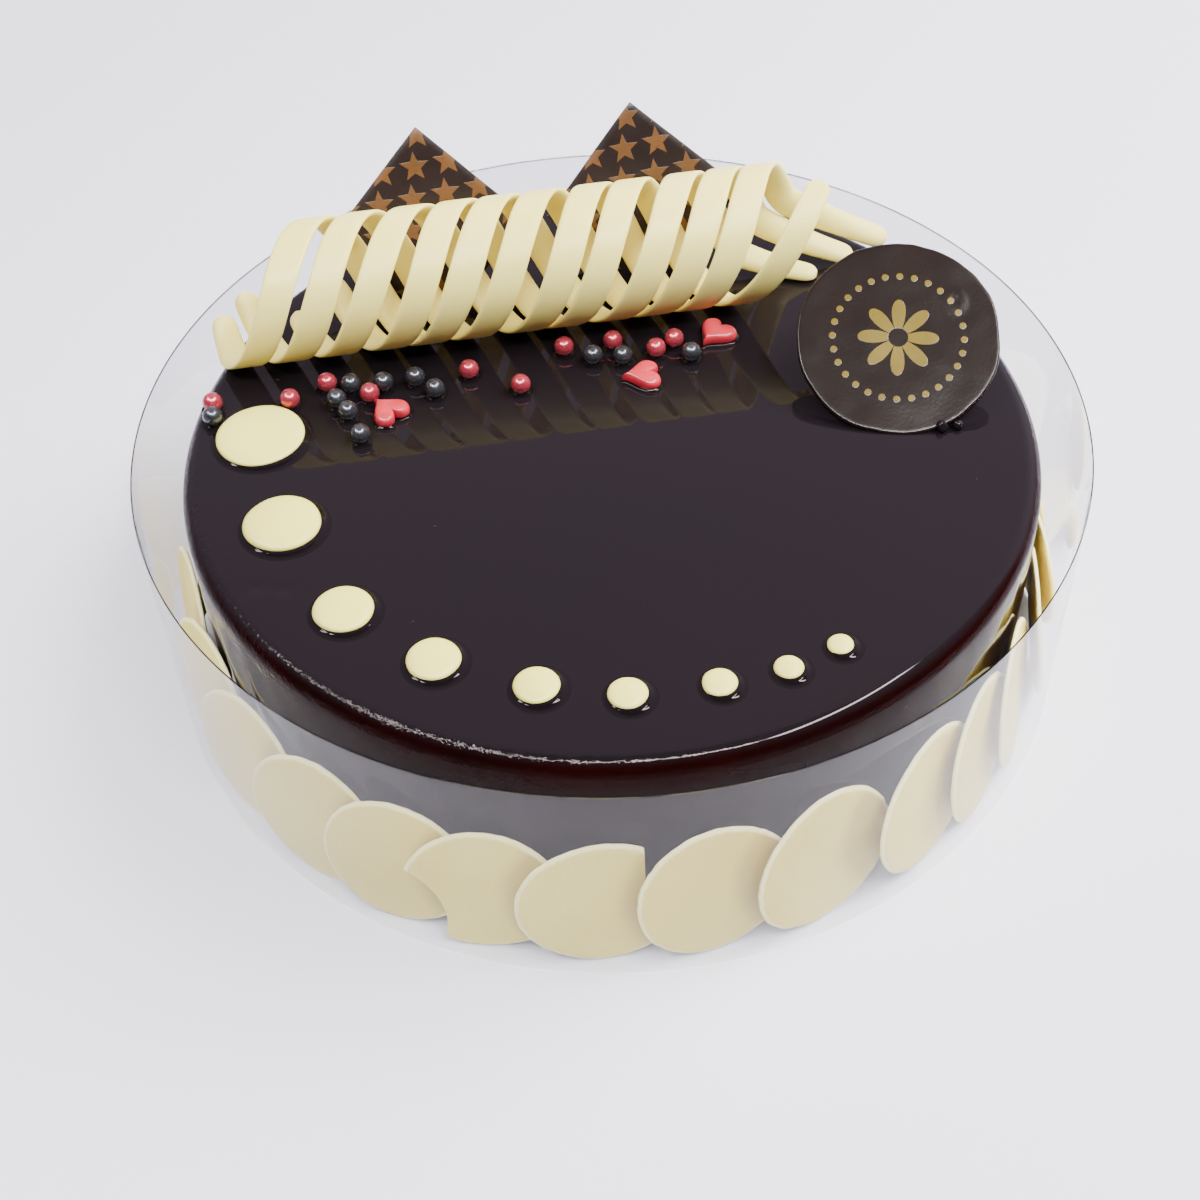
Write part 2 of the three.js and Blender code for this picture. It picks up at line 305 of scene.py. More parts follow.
class Board:
    """A material's or a group's node tree, with short ways to place nodes and join them."""

    def __init__(self, tree: bpy.types.NodeTree) -> None:
        """Clears the tree.

        Args:
            tree: the node tree to fill.
        """
        self.tree = tree
        tree.nodes.clear()

    def feed(self, socket: Socket, value: object) -> None:
        """Links a socket to another, or sets its value.

        Args:
            socket: the input.
            value: an output to link to it, or a plain value.
        """
        if isinstance(value, bpy.types.NodeSocket):
            self.tree.links.new(value, socket)
        else:
            socket.default_value = value

    def add(
        self, kind: str, inputs: dict[str | int, object] | None = None, **settings: object
    ) -> bpy.types.Node:
        """Places a node.

        Args:
            kind: the node's type, without its ShaderNode start.
            inputs: values or sockets by the name or number of the node's input.
            settings: the node's own properties.

        Returns:
            The node.
        """
        node = self.tree.nodes.new(f"ShaderNode{kind}")
        for name, value in settings.items():
            setattr(node, name, value)
        for name, value in (inputs or {}).items():
            self.feed(node.inputs[name], value)
        return node

    def math(self, operation: str, *values: object) -> Socket:
        """Places a Math node and returns its value."""
        return self.add("Math", dict(enumerate(values)), operation=operation).outputs[0]

    def times(self, first: object, second: object) -> Socket:
        """Multiplies two values."""
        return self.math("MULTIPLY", first, second)

    def plus(self, first: object, second: object) -> Socket:
        """Adds two values."""
        return self.math("ADD", first, second)

    def minus(self, first: object, second: object) -> Socket:
        """Takes the second value from the first."""
        return self.math("SUBTRACT", first, second)

    def far(self, across: Socket, up: Socket) -> Socket:
        """Gives how far a flat place is from its origin."""
        return self.math("SQRT", self.plus(self.math("POWER", across, 2.0), self.math("POWER", up, 2.0)))

    def axes(self, vector: Socket) -> bpy.types.NodeOutputs:
        """Splits a vector into its X, Y and Z."""
        return self.add("SeparateXYZ", {"Vector": vector}).outputs

    def blend(self, factor: object, first: object, second: object) -> Socket:
        """Mixes two colours and returns the result."""
        return self.add("Mix", {0: factor, 6: first, 7: second}, data_type="RGBA").outputs[2]

    def ramp(self, value: object, low: float, high: float, to: tuple[float, float] = (0.0, 1.0)) -> Socket:
        """Maps a value from low and high to two others, clamped, and returns it."""
        inputs = {"Value": value, "From Min": low, "From Max": high, "To Min": to[0], "To Max": to[1]}
        return self.add("MapRange", inputs).outputs["Result"]

    def noise(self, vector: Socket, scale: object, detail: float = 2.0, roughness: float = 0.5) -> Socket:
        """Places a Noise Texture and returns its value."""
        inputs = {"Vector": vector, "Scale": scale, "Detail": detail, "Roughness": roughness}
        return self.add("TexNoise", inputs).outputs[0]

    def place(self) -> Socket:
        """Returns Object coordinates."""
        return self.add("TexCoord").outputs["Object"]

    def group(self, tree: bpy.types.NodeTree, inputs: dict[str, object]) -> Socket:
        """Places a group and returns its first output."""
        return self.add("Group", inputs, node_tree=tree).outputs[0]

    def cloud(self, place: Socket, scale: float, main: Color, shade: Color) -> Socket:
        """Drifts softly between two colours and returns the result."""
        return self.group(cloud_group(), {"Vector": place, "Scale": scale, "Main": main, "Shade": shade})

    def bump(self, height: Socket, distance: float) -> Socket:
        """Places a Bump node and returns its normal."""
        return self.add("Bump", {"Height": height, "Distance": distance, "Strength": 1.0}).outputs[0]

    def finish(self, inputs: dict[str, object]) -> None:
        """Joins a principled shader with these inputs to the material's output."""
        self.surface(self.add("BsdfPrincipled", inputs).outputs[0])

    def surface(self, shader: Socket) -> None:
        """Joins a shader to the material's output."""
        self.tree.links.new(shader, self.add("OutputMaterial").inputs["Surface"])


def new_group(
    name: str, inputs: dict[str, object], output: tuple[str, str]
) -> tuple[Board, bpy.types.Node]:
    """Starts a shader node group with named sockets.

    Args:
        name: the group's name.
        inputs: each input's default, which also gives its kind: a number, a colour, or None for a vector.
        output: the output's name and socket type.

    Returns:
        The group's board and its input node.
    """
    tree = bpy.data.node_groups.new(name, "ShaderNodeTree")
    for label, default in inputs.items():
        kind = "Vector" if default is None else "Float" if isinstance(default, float) else "Color"
        socket = tree.interface.new_socket(label, in_out="INPUT", socket_type=f"NodeSocket{kind}")
        if default is not None:
            socket.default_value = default
    tree.interface.new_socket(output[0], in_out="OUTPUT", socket_type=output[1])
    board = Board(tree)
    return board, tree.nodes.new("NodeGroupInput")


def end_group(board: Board, result: Socket) -> bpy.types.NodeTree:
    """Joins a group's result to its output and returns the group's tree."""
    board.tree.links.new(result, board.tree.nodes.new("NodeGroupOutput").inputs[0])
    return board.tree


@lru_cache
def cloud_group() -> bpy.types.NodeTree:
    """Builds the group that lets a colour drift softly to another, as cocoa butter does."""
    sockets = {"Vector": None, "Scale": 40.0, "Main": (1, 1, 1, 1), "Shade": (0, 0, 0, 1)}
    board, given = new_group("soft_cloud", sockets, ("Color", "NodeSocketColor"))
    broad = board.noise(given.outputs["Vector"], given.outputs["Scale"], 3.0)
    share = board.ramp(broad, 0.35, 0.7)
    return end_group(board, board.blend(share, given.outputs["Main"], given.outputs["Shade"]))


@lru_cache
def relief_group() -> bpy.types.NodeTree:
    """Builds the group for the low relief of set chocolate: broad swells with fine grain on them."""
    sockets = {"Vector": None, "Broad": 150.0, "Fine": 1500.0, "Grain": 0.2}
    board, given = new_group("hand_relief", sockets, ("Height", "NodeSocketFloat"))
    broad = board.noise(given.outputs["Vector"], given.outputs["Broad"], 1.0)
    fine = board.noise(given.outputs["Vector"], given.outputs["Fine"], 3.0)
    grain = board.times(fine, given.outputs["Grain"])
    return end_group(board, board.plus(broad, grain))


@lru_cache
def speck_group() -> bpy.types.NodeTree:
    """Builds the group for scattered specks, 1 inside a speck and 0 between them."""
    sockets = {"Vector": None, "Scale": 80.0, "Size": 0.05}
    board, given = new_group("specks", sockets, ("Mask", "NodeSocketFloat"))
    inputs = {"Vector": given.outputs["Vector"], "Scale": given.outputs["Scale"]}
    distance = board.add("TexVoronoi", inputs).outputs["Distance"]
    share = board.math("DIVIDE", distance, given.outputs["Size"])
    return end_group(board, board.ramp(share, 1.0, 0.6))


# ---------- finishes ----------


class Finish:
    """What every finish does: builds its material once, on a board of its own."""

    name: str

    @lru_cache
    def material(self) -> bpy.types.Material:
        """Returns the finish's material, which is built the first time."""
        material = bpy.data.materials.new(self.name)
        material.use_nodes = True
        self.build(Board(material.node_tree))
        return material

    def build(self, board: Board) -> None:
        """Fills the material's board.

        Args:
            board: the board.
        """
        raise NotImplementedError


@dataclass(frozen=True)
class MirrorGlaze(Finish):
    """Dark cocoa glaze: it mirrors the room, and is red over the outer part of its rounded edge."""

    name: str = "mirror_glaze"
    top: Color = (0.0068, 0.0051, 0.0065, 1)
    top_cloud: Color = (0.0076, 0.0053, 0.0067, 1)
    edge: Color = (0.0105, 0.0011, 0.0010, 1)
    edge_cloud: Color = (0.0040, 0.0010, 0.0010, 1)
    side: Color = (0.0070, 0.0040, 0.0036, 1)
    gloss_tint: Color = (1.0, 0.55, 0.5, 1)
    roughness: float = 0.035
    coat_low: float = 57.2 * MM
    coat_high: float = 58.2 * MM
    edge_from: float = 97.0 * MM
    red_from: float = 99.0 * MM
    red_all: float = 100.4 * MM
    edge_low: float = 49.5 * MM
    edge_high: float = 53 * MM
    glint_from: float = 20 * MM
    glint_all: float = -50 * MM
    speck_scale: float = 62.0
    speck_size: float = 0.022
    speck_height: float = 0.8
    swell_height: float = 0.12
    glint_height: float = 1.6

    def build(self, board: Board) -> None:
        """Fills the material's board."""
        place = board.place()
        split = board.axes(place)
        flat = board.add("CombineXYZ", {"X": split["X"], "Y": split["Y"]}).outputs[0]
        radius = board.add("VectorMath", {0: flat}, operation="LENGTH").outputs["Value"]
        tint = board.cloud(place, 14.0, self.top, self.top_cloud)
        over_edge = board.ramp(radius, self.red_from, self.red_all)
        down_side = board.ramp(split["Z"], self.edge_high, self.edge_low)
        red = board.cloud(place, 16.0, self.edge, self.edge_cloud)
        color = board.blend(over_edge, tint, red)
        color = board.blend(board.times(over_edge, down_side), color, self.side)
        dust = {"Vector": place, "Scale": self.speck_scale, "Size": self.speck_size}
        specks = board.group(speck_group(), dust)
        swell = board.noise(place, 60.0, 1.0)
        broken = board.noise(place, 900.0, 2.0)
        left = board.ramp(split["X"], self.glint_from, self.glint_all)
        on_edge = board.ramp(radius, self.edge_from, self.edge_from + 1.5 * MM)
        on_edge = board.times(on_edge, board.minus(1.0, down_side))
        rough_edge = board.times(board.times(on_edge, left), broken)
        height = board.plus(board.times(swell, self.swell_height), board.times(rough_edge, self.glint_height))
        height = board.plus(height, board.times(specks, self.speck_height))
        rough = board.plus(board.times(board.noise(place, 30.0), 0.03), self.roughness)
        normal = board.bump(height, 0.12 * MM)
        board.finish({
            "Base Color": color,
            "Roughness": rough,
            "IOR": 1.12,
            "Specular Tint": self.gloss_tint,
            "Coat Weight": board.ramp(split["Z"], self.coat_low, self.coat_high),
            "Coat Roughness": self.roughness,
            "Coat IOR": 1.18,
            "Normal": normal,
            "Coat Normal": normal,
        })


@dataclass(frozen=True)
class WhiteChocolate(Finish):
    """White chocolate, satin and slightly translucent, with soft drifts of colour and low relief."""

    name: str
    main: Color
    shade: Color
    roughness: float
    broad: float = 120.0
    fine: float = 1600.0
    grain: float = 0.15
    relief: float = 0.15 * MM
    depth: float = 0.12

    def rim_and_painted_shade(self, board: Board, place: Socket, color: Socket) -> Socket:
        """Returns the colour with the rim and painted shade that a kind may add, which is nothing here."""
        return color

    def build(self, board: Board) -> None:
        """Fills the material's board."""
        place = board.place()
        color = board.cloud(place, 35.0, self.main, self.shade)
        color = self.rim_and_painted_shade(board, place, color)
        relief = {"Vector": place, "Broad": self.broad, "Fine": self.fine, "Grain": self.grain}
        height = board.group(relief_group(), relief)
        rough = board.ramp(board.noise(place, 90.0), 0.3, 0.7, (self.roughness - 0.05, self.roughness + 0.06))
        board.finish({
            "Base Color": color,
            "Roughness": rough,
            "IOR": 1.45,
            "Subsurface Weight": self.depth,
            "Subsurface Scale": 1.5 * MM,
            "Subsurface Radius": (1.0, 0.75, 0.45),
            "Normal": board.bump(height, self.relief),
        })


@dataclass(frozen=True)
class DiscChocolate(WhiteChocolate):
    """White chocolate of the side discs: a pale rim of crumbs and painted highlight, and a painted shadow
    where the next disc laps over.
    """

    # Pale rim colour: partly crumbly chocolate, partly a painted highlight on the edge.
    rim: Color = (0.93, 0.84, 0.40, 1)
    # Colour of the painted shadow where the next disc laps over.
    painted_lap_shadow: Color = (0.44, 0.33, 0.085, 1)
    rim_from: float = 0.945
    # Where the next disc lies, and the reach and strength of the painted shadow under its lap.
    next_at: float = 1.34
    lap_shadow_reach: float = 0.20
    lap_shadow_strength: float = 0.55

    def rim_and_painted_shade(self, board: Board, place: Socket, color: Socket) -> Socket:
        """Returns the colour with the pale rim and the painted shadow of the next disc's lap, by the disc's
        own UV map of radius 1.

        Args:
            board: the material's board.
            place: the place on the piece.
            color: the chocolate's own colour there.

        Returns:
            The colour.
        """
        flat = board.add("UVMap", uv_map="flat").outputs[0]
        crumbs = board.times(board.noise(place, 900.0, 3.0), 0.05)
        radius = board.add("VectorMath", {0: flat}, operation="LENGTH").outputs["Value"]
        ragged = board.minus(board.plus(radius, crumbs), 0.025)
        # Painted shadow: the disc is darker where the next disc laps over it.
        off_next = board.add("VectorMath", {0: flat, 1: (self.next_at, 0, 0)}, operation="DISTANCE")
        shade = board.times(board.ramp(off_next.outputs["Value"], 1.0 + self.lap_shadow_reach, 1.0), self.lap_shadow_strength)
        color = board.blend(shade, color, self.painted_lap_shadow)
        # Pale rim along the edge: partly crumbs, partly a painted highlight.
        return board.blend(board.ramp(ragged, self.rim_from, self.rim_from + 0.03), color, self.rim)


@dataclass(frozen=True)
class PearlSugar(Finish):
    """A pearly sugar shell: a metallic sheen under a thin gloss coat."""

    name: str
    main: Color
    shade: Color
    metallic: float = 0.55

    def build(self, board: Board) -> None:
        """Fills the material's board."""
        place = board.place()
        color = board.cloud(place, 400.0, self.main, self.shade)
        height = board.noise(place, 1500.0, 2.0)
        rough = board.ramp(board.noise(place, 700.0), 0.3, 0.7, (0.22, 0.32))
        board.finish({
            "Base Color": color,
            "Metallic": self.metallic,
            "Roughness": rough,
            "Coat Weight": 0.5,
            "Coat Roughness": 0.1,
            "Normal": board.bump(height, 0.03 * MM),
        })


@dataclass(frozen=True)
class HeartSugar(Finish):
    """Glossy coral sugar."""

    name: str = "coral_sugar"
    main: Color = (0.44, 0.014, 0.030, 1)
    shade: Color = (0.54, 0.028, 0.048, 1)

    def build(self, board: Board) -> None:
        """Fills the material's board."""
        place = board.place()
        color = board.cloud(place, 250.0, self.main, self.shade)
        height = board.noise(place, 700.0, 2.0)
        board.finish({
            "Base Color": color,
            "Roughness": board.ramp(board.noise(place, 500.0), 0.3, 0.7, (0.34, 0.44)),
            "IOR": 1.4,
            "Subsurface Weight": 0.1,
            "Subsurface Scale": 1.0 * MM,
            "Coat Weight": 0.6,
            "Coat Roughness": 0.12,
            "Normal": board.bump(height, 0.08 * MM),
        })


@dataclass(frozen=True)
class DarkChocolate(Finish):
    """Dark chocolate with a satin face and a gold cocoa butter print laid out on the piece's own UV map."""

    name: str
    main: Color
    shade: Color
    gold: Color
    gold_shade: Color
    roughness: float = 0.28

    def print_mask(self, board: Board, flat: Socket) -> Socket:
        """Returns 1 where the print lies and 0 elsewhere.

        Args:
            board: the material's board.
            flat: the place on the plate's face, in millimetres from its middle.

        Returns:
            The mask.
        """
        raise NotImplementedError

    def build(self, board: Board) -> None:
        """Fills the material's board."""
        place = board.place()
        flat = board.add("UVMap", uv_map="flat").outputs[0]
        mask = self.print_mask(board, flat)
        face = board.ramp(board.axes(flat)["X"], -400.0, -300.0)
        worn = board.ramp(board.noise(place, 1300.0, 3.0), 0.28, 0.42, (0.75, 1.0))
        mask = board.times(board.times(mask, worn), face)
        chocolate = board.cloud(place, 60.0, self.main, self.shade)
        gold = board.cloud(place, 110.0, self.gold, self.gold_shade)
        relief = board.group(relief_group(), {"Vector": place, "Broad": 90.0, "Fine": 1200.0, "Grain": 0.1})
        height = board.plus(relief, board.times(mask, 0.12))
        rough = board.ramp(mask, 0.0, 1.0, (self.roughness, self.roughness + 0.12))
        board.finish({
            "Base Color": board.blend(mask, chocolate, gold),
            "Roughness": rough,
            "IOR": 1.36,
            "Normal": board.bump(height, 0.25 * MM),
        })


@lru_cache
def star_group() -> bpy.types.NodeTree:
    """Builds the group for a slanted lattice of five-pointed stars, 1 inside a star."""
    sockets = {"Flat": None, "Row": None, "Column": None, "Tip": 3.8, "Notch": 1.6}
    board, given = new_group("star_lattice", sockets, ("Mask", "NodeSocketFloat"))
    tip, notch = given.outputs["Tip"], given.outputs["Notch"]
    flat, row, column = (board.axes(given.outputs[name]) for name in ("Flat", "Row", "Column"))

    def cross(first: Sequence[Socket], second: Sequence[Socket]) -> Socket:
        """Returns the flat cross product of two vectors."""
        return board.minus(board.times(first["X"], second["Y"]), board.times(first["Y"], second["X"]))

    cell = cross(row, column)
    rows = board.math("DIVIDE", cross(flat, column), cell)
    columns = board.math("DIVIDE", cross(row, flat), cell)
    past_row = board.minus(rows, board.math("ROUND", rows))
    past_column = board.minus(columns, board.math("ROUND", columns))
    across, up = (
        board.plus(board.times(past_row, row[axis]), board.times(past_column, column[axis]))
        for axis in ("X", "Y")
    )
    radius = board.far(across, up)
    point = 2 * math.pi / 5
    turn = board.math("DIVIDE", board.math("ARCTAN2", across, up), point)
    off_tip = board.math("ABSOLUTE", board.minus(turn, board.math("ROUND", turn)))
    off_tip = board.times(off_tip, point)
    along = board.times(radius, board.math("COSINE", off_tip))
    aside = board.times(radius, board.math("SINE", off_tip))
    notch_along = board.times(notch, math.cos(point / 2))
    notch_aside = board.times(notch, math.sin(point / 2))
    first = board.times(board.minus(notch_along, tip), aside)
    second = board.times(notch_aside, board.minus(along, tip))
    return end_group(board, board.ramp(board.minus(first, second), -0.15, 0.15))


@dataclass(frozen=True)
class StarPrint(DarkChocolate):
    """The squares' finish: rows of small stars."""

    row: tuple[float, float, float] = (8.57, 0.67, 0)
    column: tuple[float, float, float] = (1.5, 7.9, 0)
    tip: float = 3.8
    notch: float = 1.65

    def print_mask(self, board: Board, flat: Socket) -> Socket:
        """Returns the stars' mask."""
        sizes = {"Flat": flat, "Row": self.row, "Column": self.column, "Tip": self.tip, "Notch": self.notch}
        return board.group(star_group(), sizes)


@dataclass(frozen=True)
class RosettePrint(DarkChocolate):
    """The plaque's finish: one plain rosette inside a ring of dots."""

    petals: int = 8
    flower: float = 9.6
    eye: float = 2.4
    ring: float = 15.6
    dots: int = 28
    dot: float = 0.8

    def print_mask(self, board: Board, flat: Socket) -> Socket:
        """Returns the rosette's and the dots' mask."""
        split = board.axes(flat)
        across, up = split["X"], split["Y"]
        radius = board.far(across, up)
        angle = board.math("ARCTAN2", up, across)
        lobe = board.math("ABSOLUTE", board.math("COSINE", board.times(angle, self.petals / 2)))
        reach = board.times(board.math("POWER", lobe, 0.6), self.flower)
        petal = board.ramp(board.minus(reach, radius), -0.1, 0.1)
        eye = board.ramp(board.minus(radius, self.eye), -0.1, 0.1)
        turn = board.times(angle, self.dots / (2 * math.pi))
        off = board.minus(turn, board.math("ROUND", turn))
        arc = board.times(off, 2 * math.pi * self.ring / self.dots)
        rise = board.minus(radius, self.ring)
        dot = board.ramp(board.minus(self.dot, board.far(arc, rise)), -0.08, 0.08)
        return board.math("MAXIMUM", board.times(petal, eye), dot)


@dataclass(frozen=True)
class ClearFilm(Finish):
    """Thin clear film. Light from the lamps goes straight through it."""

    name: str = "collar_film"
    # The film's grey darkens all seen through it, partly as the film's own tint and partly as painted shade
    # inside the collar.
    tint: Color = (0.77, 0.77, 0.79, 1)
    cut_edge: Color = (0.20, 0.20, 0.22, 1)
    gloss_tint: Color = (1.0, 0.92, 0.93, 1)
    lamp_tint: Color = (0.88, 0.88, 0.89, 1)
    top: float = 63 * MM

    def build(self, board: Board) -> None:
        """Fills the material's board."""
        place = board.place()
        swell = board.noise(place, 25.0, 1.0)
        level = board.axes(place)["Z"]
        at_edge = board.ramp(level, self.top - 0.5 * MM, self.top - 0.3 * MM)
        glass = board.add(
            "BsdfPrincipled",
            {
                "Base Color": board.blend(at_edge, self.tint, self.cut_edge),
                "Roughness": 0.03,
                "IOR": 1.24,
                "Specular Tint": self.gloss_tint,
                "Transmission Weight": 1.0,
                "Normal": board.bump(swell, 0.1 * MM),
            },
        )
        through = board.add("BsdfTransparent", {"Color": self.lamp_tint})
        lamp = board.add("LightPath").outputs["Is Shadow Ray"]
        both = board.add("MixShader", {0: lamp, 1: glass.outputs[0], 2: through.outputs[0]})
        board.surface(both.outputs[0])


@dataclass(frozen=True)
class PalePaper(Finish):
    """The studio floor: seamless pale paper."""

    name: str = "pale_floor"
    main: Color = (0.78, 0.775, 0.86, 1)
    shade: Color = (0.76, 0.755, 0.845, 1)

    def build(self, board: Board) -> None:
        """Fills the material's board."""
        place = board.place()
        color = board.cloud(place, 2.0, self.main, self.shade)
        board.finish({"Base Color": color, "Roughness": 0.7})


# The slopes' glaze is darker than the top: painted shade for the dark hollow round each topping.
PAINTED_SHADE_SLOPE = MirrorGlaze(
    "glaze_slope_painted_shade", top=(0.0044, 0.0032, 0.0040, 1), top_cloud=(0.0050, 0.0035, 0.0042, 1)
)
RIBBON_FINISH = WhiteChocolate("white_ribbon", (0.92, 0.80, 0.24, 1), (0.89, 0.75, 0.19, 1), 0.42)
DROP_FINISH = WhiteChocolate(
    "white_drop", (0.82, 0.74, 0.17, 1), (0.78, 0.69, 0.14, 1), 0.34, relief=0.08 * MM
)
DISC_FINISH = DiscChocolate(
    "white_disc", (0.80, 0.67, 0.16, 1), (0.72, 0.58, 0.12, 1), 0.5,
    fine=900.0, grain=0.35, relief=0.35 * MM,
)
RED_PEARL = PearlSugar("red_pearl", (0.38, 0.032, 0.056, 1), (0.47, 0.052, 0.078, 1), 0.5)
DARK_PEARL = PearlSugar("dark_pearl", (0.048, 0.050, 0.060, 1), (0.066, 0.069, 0.080, 1), 0.7)
STAR_FINISH = StarPrint(
    "star_print", (0.0105, 0.0050, 0.0040, 1), (0.0140, 0.0065, 0.0050, 1),
    (0.120, 0.043, 0.0030, 1), (0.092, 0.036, 0.0036, 1),
)
PLAQUE_FINISH = RosettePrint(
    "rosette_print", (0.0090, 0.0050, 0.0040, 1), (0.0130, 0.0080, 0.0064, 1),
    (0.150, 0.098, 0.0010, 1), (0.120, 0.080, 0.0015, 1), roughness=0.22,
)


# ---------- sub-assemblies ----------


@dataclass(frozen=True)
class GlazedCake:
    """The cake under its glaze, which is rounded at the top and runs down the side."""

    radius: float = 101.5 * MM
    height: float = 59 * MM
    edge: float = 4.5 * MM
    foot: float = 0.8 * MM
    sides: int = 256
    grid: int = 64
    rim: float = 4 * MM
    dents: tuple[tuple[float, float, float], ...] = (
        (-85.2 * MM, -35.4 * MM, 0.25 * MM), (-79.3 * MM, -37.4 * MM, 0.25 * MM),
    )

    def surface(self, x: float, y: float) -> float:
        """Gives the height of the glaze over a point of the plan."""
        past = max(0.0, math.hypot(x, y) - (self.radius - self.edge))
        return self.height - self.edge + math.sqrt(max(0.0, self.edge**2 - past**2))

    def body(self) -> Piece:
        """Models the glazed body: a drum with its edges rounded and its top laid out as a fine grid."""
        piece = start(
            bpy.ops.mesh.primitive_cylinder_add,
            vertices=self.sides, radius=self.radius, depth=self.height, location=(0, 0, self.height / 2),
        )
        bpy.ops.object.transform_apply(location=True)
        with editing(piece):
            pick(piece, Select.EDGES, lambda e: all(v.co.z > self.height - MM for v in e.verts))
            bpy.ops.mesh.bevel(offset=self.edge, segments=16, profile=0.5)
            pick(piece, Select.EDGES, lambda e: all(v.co.z < self.foot / 2 for v in e.verts))
            bpy.ops.mesh.bevel(offset=self.foot, segments=2, profile=0.5)
            pick(piece, Select.EDGES, lambda e: abs(e.verts[0].co.z - e.verts[1].co.z) > self.height / 2)
            bpy.ops.mesh.subdivide(number_cuts=11)
            pick(piece, Select.FACES, lambda f: f.normal.z > 0.99 and len(f.verts) > 8)
            bpy.ops.mesh.inset(thickness=self.rim)
            bpy.ops.mesh.delete(type="ONLY_FACE")
            inner = self.radius - self.edge - self.rim
            pick(
                piece, Select.EDGES,
                lambda e: e.is_boundary and all(math.hypot(*v.co.xy) < inner + MM for v in e.verts),
            )
            bpy.ops.mesh.fill_grid(span=self.grid)
            bpy.ops.mesh.subdivide(number_cuts=1)
        reshape(piece, self.settled)
        return piece

    def settled(self, point: Vector) -> Vector:
        """Gives a corner its place in the glaze as it ran: runs on the side, swells and dents on top.

        Args:
            point: the corner on the plain body, in metres.

        Returns:
            Its place.
        """
        wall = max(0.0, min(1.0, (self.height - self.edge - point.z) / (4 * MM)))
        foot = min(1.0, point.z / (3 * MM))
        angle = math.atan2(point.y, point.x)
        around = Vector((math.cos(angle), math.sin(angle), 6 * point.z))
        run = wobble(around, 0.07, 0.30 * MM, 4.0) * wall * foot
        out = Vector((point.x, point.y, 0)).normalized() * run
        flat = math.hypot(point.x, point.y) < self.radius - self.edge - self.rim
        if point.z > self.height - 1e-5 and flat:
            out.z += wobble(point, 0.045, 0.03 * MM)
            for x, y, depth in self.dents:
                near = math.hypot(point.x - x, 1.8 * (point.y - y))
                out.z -= depth * math.exp(-((near / (2.2 * MM)) ** 2))
        return point + out

    def make(self) -> None:
        """Models and dresses the glazed body."""
        settle(self.body(), "glazed_cake", MirrorGlaze().material(), ["cake"], sharp=40)


@dataclass(frozen=True)
class Pearls:
    """Sugar pearls of one colour, which sit a little way down in the glaze."""

    name: str
    finish: PearlSugar
    places: tuple[tuple[float, float], ...]
    diameter: float = 4.9 * MM
    sunk: float = 0.35 * MM

    def make(self, cake: GlazedCake) -> None:
        """Models one pearl, copies it to every place and joins the copies.

        Args:
            cake: the glaze that they sit in.
        """
        ball = start(
            bpy.ops.mesh.primitive_uv_sphere_add, segments=28, ring_count=18, radius=self.diameter / 2
        )
        pearls = []
        for number, (x, y) in enumerate(self.places):
            pearl = copied(ball)
            height = cake.surface(x * MM, y * MM) + self.diameter / 2 - self.sunk
            reshape(pearl, self.uneven(number))
            pearl.location = (x * MM, y * MM, height)
            pearls.append(pearl)
        bpy.data.objects.remove(ball)
        settle(joined(pearls), self.name, self.finish.material(), ["cake"], sharp=180)

    def uneven(self, number: int) -> Callable[[Vector], Vector]:
        """Gives the unevenness of one pearl, by its number."""
        return lambda point: point * (1 + wobble(point, 3.2 * MM, 0.035, 3.1 * number))


@dataclass(frozen=True)
class Strand:
    """One piped ribbon of the curl.

    Its three fronts are where it crosses the curl's front, at the angle 0 of each turn. It is there
    from angle first to angle last, leaves the helix lengthwise by a reach at both ends, and springs
    open by flare at its far end.
    """

    fronts: tuple[float, float, float]
    first: float
    last: float
    start_reach: float
    end_reach: float
    end_span: float
    flare: float


